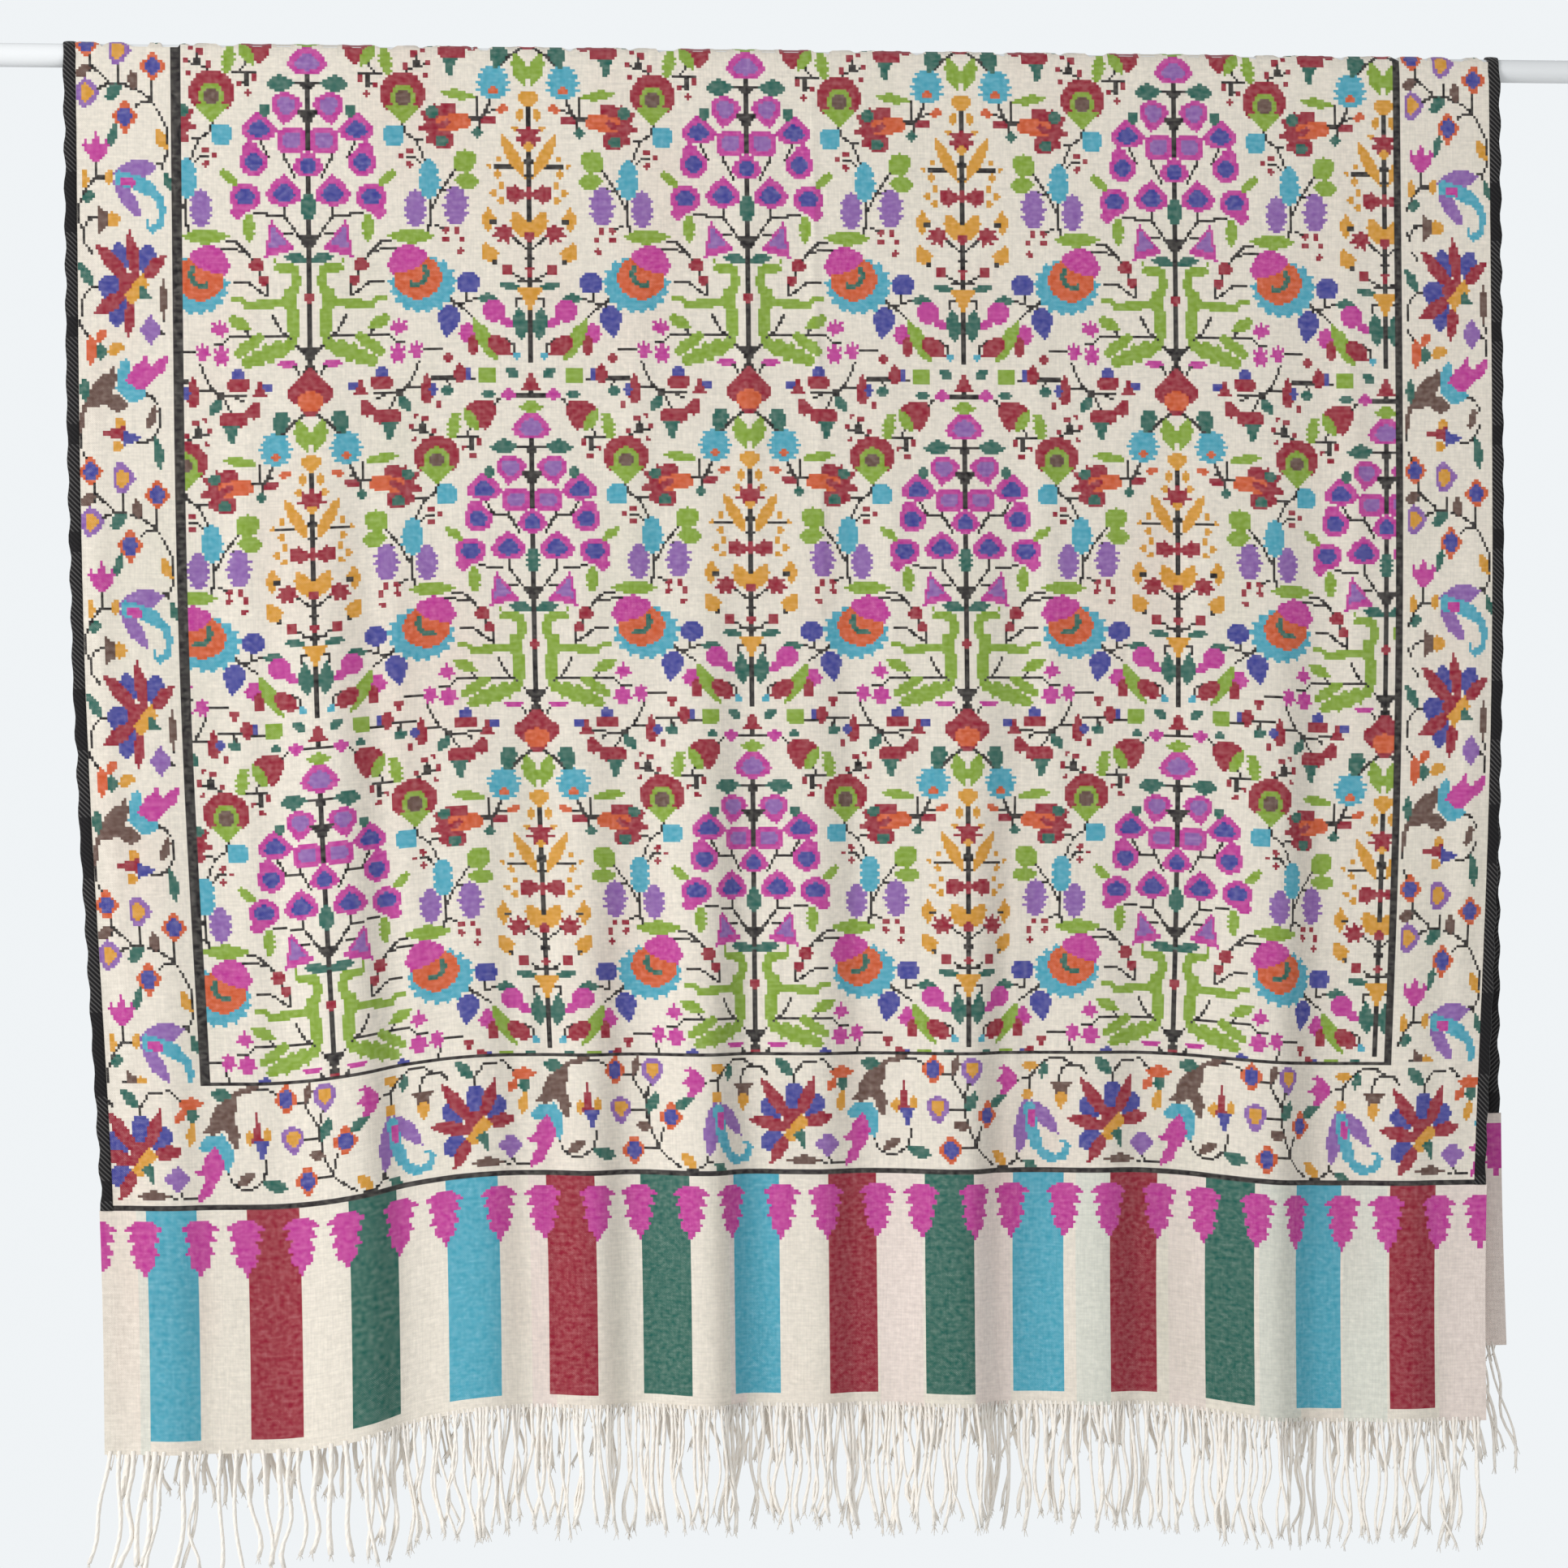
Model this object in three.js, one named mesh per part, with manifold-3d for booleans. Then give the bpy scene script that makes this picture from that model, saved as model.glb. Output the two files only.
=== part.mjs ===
// A pashmina shawl hung in half over a round white rod.
// Millimetres, +Z up. The origin is on the rod's axis, at the middle of its length.
// The front fall hangs on the -Y side and the back fall on the +Y side.
import * as THREE from "three";
import { mergeVertices } from "three/addons/utils/BufferGeometryUtils.js";
import Module from "manifold-3d";

const wasm = await Module();
wasm.setup();

// The rod
const rodRadius = 8;
const rodLength = 1200;
const rodEndRound = 1.5;
const rodSides = 48;

// The woven cloth. "across" runs over its width and "along" over its length: 0 at the top of the rod,
// positive down the front fall and negative down the back fall.
const shawlWidth = 1000;
const frontFall = 941.5;
const backFall = 897.5;
const wall = 1.2;
const seamGap = 0.3;
const endPanel = 160;

// How far each side of the crest the stretch over the rod goes
const overRod = 20;

// The thicker dark edging on both long sides, as far down as the end panels
const edgingWidth = 8;
const edgingThickness = 2.2;
const edgingLump = 26;
const edgingWave = 0.9;

// The twisted fringe on both ends. Its roots are joined to a strip just under the hem.
const strandLength = { least: 70, most: 89 };
const strandRadius = 1.3;
const strandSway = 2.4;
const strandLift = 1.2;
const strandJitter = 0.3;
const fringeStrip = 3;
const fringeStripThickness = 3;

// Rows and columns of the grids, and how many straight stretches a strand has
const frontColumns = 72;
const backColumns = 54;
const upperRows = 9;
const lowerRows = 3;
const arcRows = 14;
const arcColumns = 6;
const frontStrandSteps = 3;
const backStrandSteps = 2;

// Folds that stand out of each fall. at is the ridge's place across the cloth at the hem, left and right
// are the widths of its two slopes, depth is how far it stands out at the hem, from and full are the
// distances from the crest where it starts and where it has its full depth, and lean is how far the
// ridge lies to the right of at where it starts.
const frontFolds = [
  { at: -452, left: 38, right: 30, depth: 6, from: 300, full: 900, lean: 4 },
  { at: -322, left: 62, right: 36, depth: 11, from: 60, full: 700, lean: -12 },
  { at: -236, left: 44, right: 32, depth: 7, from: 240, full: 860, lean: 8 },
  { at: -160, left: 40, right: 30, depth: 10, from: 260, full: 840, lean: 10 },
  { at: -76, left: 52, right: 36, depth: 18, from: 160, full: 900, lean: 6 },
  { at: 8, left: 44, right: 30, depth: 8, from: 140, full: 860, lean: -4 },
  { at: 112, left: 64, right: 36, depth: 17, from: 220, full: 880, lean: 12 },
  { at: 214, left: 52, right: 34, depth: 9, from: 420, full: 900, lean: -6 },
  { at: 336, left: 74, right: 40, depth: 17, from: 60, full: 800, lean: -10 },
  { at: 440, left: 46, right: 34, depth: 7, from: 360, full: 900, lean: -4 },
];
const backFolds = [
  { at: -404, left: 48, right: 60, depth: 11, from: 120, full: 820, lean: 6 },
  { at: -286, left: 44, right: 40, depth: 9, from: 260, full: 860, lean: -6 },
  { at: -148, left: 40, right: 66, depth: 14, from: 90, full: 840, lean: 10 },
  { at: -20, left: 38, right: 46, depth: 10, from: 330, full: 860, lean: 4 },
  { at: 96, left: 36, right: 56, depth: 15, from: 180, full: 850, lean: -8 },
  { at: 232, left: 46, right: 42, depth: 8, from: 300, full: 880, lean: 6 },
  { at: 366, left: 40, right: 70, depth: 13, from: 80, full: 800, lean: -10 },
];

// Where the two falls keep their place across while the folds draw the rest of the cloth towards it,
// and how far to the right the back fall's hem hangs
const frontAnchor = -40;
const backAnchor = 60;
const backShift = 12;

// How much lower the corners of each hem hang than its middle, the slope of the whole hem, the places
// across between which the hem sinks, and how fast all of this grows with the distance from the crest
const droop = {
  front: { left: 30, right: 14, tilt: 0.02 },
  back: { left: 16, right: 18, tilt: 0 },
};
const droopStart = 220;
const droopEnd = 390;
const droopPower = 1.5;

const middleRadius = rodRadius + seamGap + wall / 2;
const quarterTurn = (Math.PI / 2) * middleRadius;

// Points nearer to each other than this are one point
const samePoint = 1e-4;

const clamp01 = (t) => Math.min(1, Math.max(0, t));
const smooth = (t) => {
  const c = clamp01(t);
  return c * c * (3 - 2 * c);
};

// The width that a slope of a fold uses up by a share t of it: half the square of its steepness, summed
function slopeUse(depth, width, t) {
  const whole = (depth * depth * Math.PI * Math.PI) / (8 * width);
  return whole * (t / 2 - Math.sin(2 * Math.PI * t) / (4 * Math.PI));
}

// One fold at one place: how far it stands out, and how much width it has used up by there.
// Its section is a raised cosine with its own width on each side.
function foldAt(fold, across, distance) {
  const grown = smooth((distance - fold.from) / (fold.full - fold.from));
  const depth = fold.depth * grown;
  const offset = across - fold.at - fold.lean * (1 - grown);
  const width = offset < 0 ? fold.left : fold.right;
  const u = THREE.MathUtils.clamp(offset / width, -1, 1);
  const out = (depth / 2) * (1 + Math.cos(Math.PI * u));
  const used = slopeUse(depth, fold.left, Math.min(u, 0) + 1) + slopeUse(depth, fold.right, Math.max(u, 0));
  return { out, used };
}

// The middle of the cloth's thickness at a place on the cloth
function clothMiddle(across, along) {
  const front = along >= 0;
  const distance = Math.abs(along);
  const side = front ? -1 : 1;
  const turn = Math.min(distance / middleRadius, Math.PI / 2);
  const below = Math.max(0, distance - quarterTurn);
  const folds = front ? frontFolds : backFolds;
  const anchor = front ? frontAnchor : backAnchor;
  const share = distance / (front ? frontFall : backFall);
  let out = 0;
  let used = 0;
  for (const fold of folds) {
    const here = foldAt(fold, across, distance);
    out += here.out;
    used += here.used - foldAt(fold, anchor, distance).used;
  }
  const sag = front ? droop.front : droop.back;
  const corner = across < 0 ? sag.left : sag.right;
  const lowered = corner * smooth((Math.abs(across) - droopStart) / (droopEnd - droopStart)) + sag.tilt * across;
  return new THREE.Vector3(
    across - used + (front ? 0 : backShift * share * share),
    side * (middleRadius * Math.sin(turn) + out),
    middleRadius * Math.cos(turn) - below - lowered * share ** droopPower,
  );
}

// A point of the cloth moved out from its middle, square to its surface
function clothPoint(across, along, out) {
  const near = 0.05;
  const alongStep = clothMiddle(across, along + near).sub(clothMiddle(across, along - near));
  const acrossStep = clothMiddle(across + near, along).sub(clothMiddle(across - near, along));
  const normal = acrossStep.cross(alongStep).normalize().negate();
  return clothMiddle(across, along).addScaledVector(normal, out);
}

const spaced = (from, to, count) => Array.from({ length: count + 1 }, (_, i) => from + ((to - from) * i) / count);

// A wall over a grid of places, closed all round. Its inner face lies in line with the cloth's inner face.
// keep says which cells of the grid it covers.
function wallGeometry(columns, rows, thickness, keep = () => true, place = clothPoint) {
  const positions = [];
  const faces = [];
  const width = columns.length;
  const layer = width * rows.length;
  for (const out of [thickness - wall / 2, -wall / 2]) {
    for (const along of rows) {
      for (const across of columns) positions.push(...place(across, along, out).toArray());
    }
  }
  const outer = (i, j) => j * width + i;
  const kept = (i, j) => i >= 0 && j >= 0 && i < width - 1 && j < rows.length - 1 && keep(columns[i], rows[j]);
  const quad = (a, b, c, d) => faces.push(a, b, c, a, c, d);
  for (let j = 0; j < rows.length - 1; j++) {
    for (let i = 0; i < width - 1; i++) {
      if (!kept(i, j)) continue;
      const [a, b, c, d] = [outer(i, j), outer(i, j + 1), outer(i + 1, j + 1), outer(i + 1, j)];
      quad(a, b, c, d);
      quad(d + layer, c + layer, b + layer, a + layer);
      if (!kept(i - 1, j)) quad(b, a, a + layer, b + layer);
      if (!kept(i + 1, j)) quad(d, c, c + layer, d + layer);
      if (!kept(i, j - 1)) quad(a, d, d + layer, a + layer);
      if (!kept(i, j + 1)) quad(c, b, b + layer, c + layer);
    }
  }
  return tidied(positions, faces);
}

// A geometry from points and faces, without the points that no face uses
function tidied(positions, faces) {
  const geometry = new THREE.BufferGeometry();
  const used = faces.flatMap((index) => positions.slice(3 * index, 3 * index + 3));
  geometry.setAttribute("position", new THREE.Float32BufferAttribute(used, 3));
  return mergeVertices(geometry, samePoint);
}

function toManifold(geometry) {
  const bare = geometry.clone();
  bare.deleteAttribute("normal");
  bare.deleteAttribute("uv");
  const merged = mergeVertices(bare, samePoint);
  return new wasm.Manifold(
    new wasm.Mesh({
      numProp: 3,
      vertProperties: new Float32Array(merged.attributes.position.array),
      triVerts: new Uint32Array(merged.index.array),
    }),
  );
}

function fromManifold(solid) {
  const mesh = solid.getMesh();
  const geometry = new THREE.BufferGeometry();
  geometry.setAttribute("position", new THREE.BufferAttribute(new Float32Array(mesh.vertProperties), 3));
  geometry.setIndex(new THREE.BufferAttribute(new Uint32Array(mesh.triVerts), 1));
  return geometry;
}

// Materials
const cream = new THREE.MeshStandardMaterial({ color: 0xded6ca, roughness: 0.85, metalness: 0 });
const dark = new THREE.MeshStandardMaterial({ color: 0x1f1c1e, roughness: 0.9, metalness: 0 });
const ivory = new THREE.MeshStandardMaterial({ color: 0xebe6dc, roughness: 0.85, metalness: 0 });
const whitePaint = new THREE.MeshStandardMaterial({ color: 0xf1f3f3, roughness: 0.35, metalness: 0 });

const shawl = new THREE.Group();

function addPiece(name, geometry, material) {
  geometry.computeVertexNormals();
  const piece = new THREE.Mesh(geometry, material);
  piece.name = name;
  shawl.add(piece);
}

// The rod: a turned bar with slightly rounded ends, lying along X
function rodGeometry() {
  const half = rodLength / 2;
  const profile = [
    new THREE.Vector2(0, -half),
    new THREE.Vector2(rodRadius - rodEndRound, -half),
    new THREE.Vector2(rodRadius, -half + rodEndRound),
    new THREE.Vector2(rodRadius, half - rodEndRound),
    new THREE.Vector2(rodRadius - rodEndRound, half),
    new THREE.Vector2(0, half),
  ];
  return new THREE.LatheGeometry(profile, rodSides).rotateZ(-Math.PI / 2);
}

// The cloth is woven in one piece. Above the end panels it stops short of the edging.
const outerEdge = shawlWidth / 2;
const innerEdge = outerEdge - edgingWidth - seamGap;
const edgingEnd = { front: frontFall - endPanel, back: backFall - endPanel };

function clothColumns(count) {
  return [-outerEdge, ...spaced(-innerEdge, innerEdge, count), outerEdge];
}

// The rows of a fall, from its seam with the stretch over the rod to the hem
function fallRows(edging, fall) {
  const upper = spaced(overRod + seamGap, edging + seamGap, upperRows);
  const lower = spaced(edging + seamGap, fall, lowerRows);
  return [...upper, ...lower.slice(1)];
}

function fallGeometry(count, edging, fall, sign) {
  const rows = fallRows(edging, fall).map((row) => sign * row);
  if (sign < 0) rows.reverse();
  const insideEdging = (across) => across >= -innerEdge && across < innerEdge - seamGap;
  const inEndPanel = (row) => (sign > 0 ? row >= edging : row < -edging - 2 * seamGap);
  return wallGeometry(clothColumns(count), rows, wall, (across, row) => insideEdging(across) || inEndPanel(row));
}

function overRodGeometry() {
  return wallGeometry(spaced(-innerEdge, innerEdge, arcColumns), spaced(-overRod, overRod, arcRows), wall);
}

// A strip of edging: its outer edge swells in and out, one lump after another
function edgingGeometry(sideSign, from, to, rows = Math.round((2 * (to - from)) / edgingLump)) {
  const inner = outerEdge - edgingWidth;
  const columns = sideSign > 0 ? [inner, outerEdge] : [-outerEdge, -inner];
  const place = (across, along, out) => {
    const swell = edgingWave * (Math.cos((2 * Math.PI * along) / edgingLump) - 1);
    const outside = Math.abs(across) > inner;
    return clothPoint(outside ? across + sideSign * swell : across, along, out);
  };
  return wallGeometry(columns, spaced(from, to, rows), edgingThickness, () => true, place);
}

// A steady scatter from 0 to 1 for the strand and the quality that it is asked for
function scatter(strand, quality) {
  const value = Math.sin(strand * 12.9898 + quality * 78.233) * 43758.5453;
  return value - Math.floor(value);
}

// The strands' places across the hem: set by how many hang on each part of it
function strandPlaces(parts) {
  const places = [];
  for (const part of parts) {
    const step = (part.to - part.from) / part.strands;
    for (let i = 0; i < part.strands; i++) {
      const jitter = strandJitter * step * (scatter(places.length, 1) - 0.5);
      places.push(part.from + (i + 0.5) * step + jitter);
    }
  }
  return places;
}

// The middle of the strip's thickness, on the straight line between the two columns beside it
function onStrip(across, along, columns) {
  const next = columns.findIndex((column) => column > across);
  const [a, b] = [columns[next - 1], columns[next]];
  const out = (fringeStripThickness - wall) / 2;
  return clothPoint(a, along, out).lerp(clothPoint(b, along, out), (across - a) / (b - a));
}

function strandGeometry(root, strand, outward, steps) {
  const length = THREE.MathUtils.lerp(strandLength.least, strandLength.most, scatter(strand, 2));
  const points = [root];
  for (let i = 1; i <= steps; i++) {
    const share = i / steps;
    const x = root.x + strandSway * (scatter(strand, 2 + i) - 0.5) * share;
    const y = root.y + outward * strandLift * scatter(strand, 6 + i) * share;
    points.push(new THREE.Vector3(x, y, root.z - length * share));
  }
  const path = new THREE.CurvePath();
  for (let i = 0; i < steps; i++) path.add(new THREE.LineCurve3(points[i], points[i + 1]));
  const third = (2 * Math.PI) / 3;
  const corners = [0, third, 2 * third].map((angle) => {
    return new THREE.Vector2(strandRadius * Math.cos(angle), strandRadius * Math.sin(angle));
  });
  const settings = { steps, bevelEnabled: false, extrudePath: path };
  return new THREE.ExtrudeGeometry(new THREE.Shape(corners), settings);
}

// The fringe of one end: strands whose roots are joined to a narrow strip just under the hem
function fringeGeometry(sign, fall, count, parts, steps) {
  const top = fall + seamGap;
  const rows = [sign * top, sign * (top + fringeStrip)].sort((a, b) => a - b);
  const columns = clothColumns(count);
  let solid = toManifold(wallGeometry(columns, rows, fringeStripThickness));
  strandPlaces(parts).forEach((across, strand) => {
    const root = onStrip(across, sign * (top + fringeStrip / 2), columns);
    solid = solid.add(toManifold(strandGeometry(root, strand, -sign, steps)));
  });
  return fromManifold(solid);
}

// Strands hang thinner at the left of the front than in its middle
const frontStrands = [
  { from: -497, to: -300, strands: 15 },
  { from: -300, to: 330, strands: 78 },
  { from: 330, to: 497, strands: 19 },
];
const backStrands = [{ from: -497, to: 497, strands: 100 }];

addPiece("rod", rodGeometry(), whitePaint);
addPiece("cloth_over_rod", overRodGeometry(), cream);
addPiece("cloth_front", fallGeometry(frontColumns, edgingEnd.front, frontFall, 1), cream);
addPiece("cloth_back", fallGeometry(backColumns, edgingEnd.back, backFall, -1), cream);
for (const [word, sideSign] of [["left", -1], ["right", 1]]) {
  addPiece(`edging_over_rod_${word}`, edgingGeometry(sideSign, -overRod, overRod, arcRows), dark);
  addPiece(`edging_front_${word}`, edgingGeometry(sideSign, overRod + seamGap, edgingEnd.front), dark);
  addPiece(`edging_back_${word}`, edgingGeometry(sideSign, -edgingEnd.back, -overRod - seamGap), dark);
}
addPiece("fringe_front", fringeGeometry(1, frontFall, frontColumns, frontStrands, frontStrandSteps), ivory);
addPiece("fringe_back", fringeGeometry(-1, backFall, backColumns, backStrands, backStrandSteps), ivory);

export default shawl;
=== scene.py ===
import bpy
import math
import numpy as np
from mathutils import Matrix, Vector
from mathutils.geometry import delaunay_2d_cdt


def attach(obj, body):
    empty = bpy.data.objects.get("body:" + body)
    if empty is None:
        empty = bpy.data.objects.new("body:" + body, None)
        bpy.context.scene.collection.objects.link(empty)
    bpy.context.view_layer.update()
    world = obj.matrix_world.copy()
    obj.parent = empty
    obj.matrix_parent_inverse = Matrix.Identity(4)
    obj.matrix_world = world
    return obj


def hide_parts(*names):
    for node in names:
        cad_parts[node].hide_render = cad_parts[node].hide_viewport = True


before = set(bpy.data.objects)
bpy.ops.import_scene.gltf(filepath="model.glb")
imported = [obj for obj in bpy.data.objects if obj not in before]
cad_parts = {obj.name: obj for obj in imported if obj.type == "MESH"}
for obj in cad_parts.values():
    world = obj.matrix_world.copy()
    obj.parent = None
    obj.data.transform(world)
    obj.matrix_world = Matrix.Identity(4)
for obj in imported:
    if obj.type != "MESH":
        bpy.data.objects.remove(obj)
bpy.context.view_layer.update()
print('frame loaded')

# the camera, fitted to the photo: metres and degrees, pixels of 1932 for the lens
view = {'eye': (-0.32096, -2.69249, -0.49870), 'yaw': 6.5297, 'roll': -0.57905, 'focal': 4824.93,
        'pixels': 1932, 'sensor': 36}


def makeCamera():
    data = bpy.data.cameras.new('photoCamera')
    data.sensor_width = view['sensor']
    data.lens = view['focal'] / view['pixels'] * view['sensor']
    data.clip_end = 50
    camera = bpy.data.objects.new('photoCamera', data)
    bpy.context.scene.collection.objects.link(camera)
    yaw, roll = math.radians(view['yaw']), math.radians(view['roll'])
    ahead = Vector((math.sin(yaw), math.cos(yaw), 0))
    level, up = Vector((math.cos(yaw), -math.sin(yaw), 0)), Vector((0, 0, 1))
    right = level * math.cos(roll) + up * math.sin(roll)
    top = up * math.cos(roll) - level * math.sin(roll)
    turned = Matrix((right, top, -ahead)).transposed().to_4x4()
    camera.matrix_world = Matrix.Translation(view['eye']) @ turned
    bpy.context.scene.camera = camera


makeCamera()

# the shawl as it hangs, in millimetres: along is 0 on the crest of the rod and grows down the front
drape = {'radius': 8.9, 'wall': 1.2, 'front': 941.5, 'back': 897.5, 'endPanel': 160,
         'halfWidth': 500, 'clothHalf': 491.7, 'droopStart': 220, 'droopEnd': 390, 'droopPower': 1.5, 'backShift': 12}
fall = {
    'front': {'side': -1, 'length': 941.5, 'anchor': -40, 'left': 30, 'right': 14, 'tilt': 0.02},
    'back': {'side': 1, 'length': 897.5, 'anchor': 60, 'left': 16, 'right': 18, 'tilt': 0}}
# at, left, right, depth, from, full, lean
folds = {
    'front': [(-452, 38, 30, 6, 300, 900, 4), (-322, 62, 36, 11, 60, 700, -12), (-236, 44, 32, 7, 240, 860, 8),
              (-160, 40, 30, 10, 260, 840, 10), (-76, 52, 36, 18, 160, 900, 6), (8, 44, 30, 8, 140, 860, -4),
              (112, 64, 36, 17, 220, 880, 12), (214, 52, 34, 9, 420, 900, -6), (336, 74, 40, 17, 60, 800, -10),
              (440, 46, 34, 7, 360, 900, -4)],
    'back': [(-404, 48, 60, 11, 120, 820, 6), (-286, 44, 40, 9, 260, 860, -6), (-148, 40, 66, 14, 90, 840, 10),
             (-20, 38, 46, 10, 330, 860, 4), (96, 36, 56, 15, 180, 850, -8), (232, 46, 42, 8, 300, 880, 6),
             (366, 40, 70, 13, 80, 800, -10)]}
quarterTurn = math.pi / 2 * drape['radius']
# small creases that the solid leaves out: at, width, depth, from, to, lean
creaseDepth = 1.5
creases = {
    'front': [(12, 3.2, 0.9, 20, 420, 2), (-34, 9, 1.1, 60, 520, 6), (-118, 12, 1.3, 120, 640, -8),
        (64, 11, 1.2, 200, 700, 6), (172, 10, 1.4, 160, 620, 10), (276, 13, 1.5, 240, 760, -9),
        (392, 10, 1.3, 90, 560, 7), (-276, 11, 1.4, 260, 860, 8), (-384, 12, 1.6, 140, 780, -7),
        (-200, 8, 1.2, 420, 930, 5), (150, 7, 1.1, 520, 930, -6), (-20, 8, 1.2, 560, 930, 5),
        (296, 8, 1.2, 620, 930, 4), (474, 9, 1.3, 300, 900, -5), (-478, 8, 1.2, 200, 760, 4),
        (40, 9, -1.2, 380, 900, 8)],
    'back': [(-352, 11, 1.3, 90, 620, 6), (-214, 12, 1.4, 260, 860, -8), (-84, 9, 1.2, 120, 560, 5),
        (46, 11, 1.4, 300, 860, 7), (160, 9, 1.1, 100, 640, -6), (300, 12, 1.5, 320, 860, 9),
        (430, 10, 1.2, 160, 760, -5), (-460, 9, 1.2, 240, 820, 4)]}


def smooth(t):
    t = np.clip(t, 0, 1)
    return t * t * (3 - 2 * t)


def slopeUse(depth, width, t):
    # the cloth that one slope of a cosine fold takes up: depth^2 pi^2 / (8 width) (t / 2 - sin(2 pi t) / (4 pi))
    return depth ** 2 * np.pi ** 2 / (8 * width) * (t / 2 - np.sin(2 * np.pi * t) / (4 * np.pi))


def foldsAt(name, across, distance):
    out, used = np.zeros(np.shape(across)), np.zeros(np.shape(across))
    for at, left, right, depth, start, full, lean in folds[name]:
        grown = smooth((distance - start) / (full - start))
        deep = depth * grown
        offset = across - at - lean * (1 - grown)
        u = np.clip(offset / np.where(offset < 0, left, right), -1, 1)
        out = out + deep / 2 * (1 + np.cos(np.pi * u))
        used = used + slopeUse(deep, left, np.minimum(u, 0) + 1) + slopeUse(deep, right, np.maximum(u, 0))
    for at, width, depth, start, end, lean in creases[name]:
        # a shallow ridge, deepest half way down, that leans a little and fades at both ends
        run = np.clip((distance - start) / (end - start), 0, 1)
        away = (across - at - lean * (run - 0.5) * 2) / width
        out = out + creaseDepth * depth * np.sin(np.pi * run) ** 0.7 * np.exp(-away ** 2)
    return out, used


def fallMiddle(name, across, distance):
    # one fall's middle surface: round the rod for a quarter turn, then straight down with the folds standing out
    part = fall[name]
    turn = np.minimum(distance / drape['radius'], np.pi / 2)
    below = np.maximum(0, distance - quarterTurn)
    share = distance / part['length']
    out, used = foldsAt(name, across, distance)
    used = used - foldsAt(name, np.full(np.shape(across), float(part['anchor'])), distance)[1]
    corner = np.where(across < 0, part['left'], part['right'])
    lowered = corner * smooth((np.abs(across) - drape['droopStart']) / (drape['droopEnd'] - drape['droopStart']))
    lowered = lowered + part['tilt'] * across
    shift = drape['backShift'] * share ** 2 if name == 'back' else 0
    height = drape['radius'] * np.cos(turn) - below - lowered * np.maximum(share, 0) ** drape['droopPower']
    return np.stack([across - used + shift, part['side'] * (drape['radius'] * np.sin(turn) + out), height], -1)


def clothMiddle(across, along):
    across, along = np.asarray(across, float), np.asarray(along, float)
    back = fallMiddle('back', across, np.maximum(-along, 0))
    front = fallMiddle('front', across, np.maximum(along, 0))
    return np.where(along[..., None] < 0, back, front)


def clothNormal(across, along):
    # the outward side: the slope along the fall crossed with the slope across it
    step = 0.4
    a = clothMiddle(across + step, along) - clothMiddle(across - step, along)
    b = clothMiddle(across, along + step) - clothMiddle(across, along - step)
    normal = np.cross(b, a)
    return normal / np.linalg.norm(normal, axis=-1, keepdims=True)


def clothPoint(across, along, out=0.0):
    return clothMiddle(across, along) + clothNormal(across, along) * np.asarray(out)[..., None]


def makeObject(name, points, faces, material):
    mesh = bpy.data.meshes.new(name)
    mesh.from_pydata((np.asarray(points) / 1000).tolist(), [], faces)
    mesh.polygons.foreach_set('use_smooth', np.full(len(mesh.polygons), True))
    mesh.materials.append(material)
    piece = bpy.data.objects.new(name, mesh)
    bpy.context.scene.collection.objects.link(piece)
    return piece


def cornerVertices(piece):
    found = np.zeros(len(piece.data.loops), np.int32)
    piece.data.loops.foreach_get('vertex_index', found)
    return found


def addMap(piece, name, places):
    # a UV map from one place for every corner of a face
    piece.data.uv_layers.new(name=name).data.foreach_set('uv', places.ravel())


def bandFaces(around, rings):
    # quads from each spot of a ring to the next spot and the next ring, and a cap at each end
    ring, spot = np.meshgrid(np.arange(rings - 1), np.arange(around), indexing='ij')
    a, b = ring * around + spot, ring * around + (spot + 1) % around
    quads = np.stack([a, b, b + around, a + around], -1).reshape(-1, 4)
    return quads.tolist() + [list(range(around))[::-1], list(range((rings - 1) * around, rings * around))]


yarn = {'cream': (229, 220, 206), 'black': (26, 23, 26), 'magenta': (190, 54, 148), 'violet': (138, 95, 168),
        'navy': (60, 64, 148), 'teal': (72, 163, 185), 'lime': (130, 162, 50), 'green': (38, 98, 86),
        'red': (148, 27, 50), 'orange': (205, 88, 44), 'ochre': (212, 150, 48), 'brown': (98, 72, 64),
        'blush': (229, 214, 205), 'mist': (216, 216, 204)}
palette = list(yarn)
void = 255
# marks are the rows of the loom that colour changes or the fall's ends fall on; points are cells between mesh points
weave = {'cell': 150 / 88, 'cellDown': 1.73, 'cellEdge': 2.1, 'tree': -35.5, 'treeStep': 150.0,
         'outerPoints': (3, 8), 'innerPoints': (3, 15), 'squeeze': 0.4, 'innerEdge': 452, 'innerHem': 108,
         'marks': {'front': (-18, 4, 254, 487, 697.5, 699.7, 778, 781.5, 932.5, 941.5),
                   'back': (-897.5, -888.5, -737.5, -734, -656.2, -654, -476, -236, -18)}}

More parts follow.
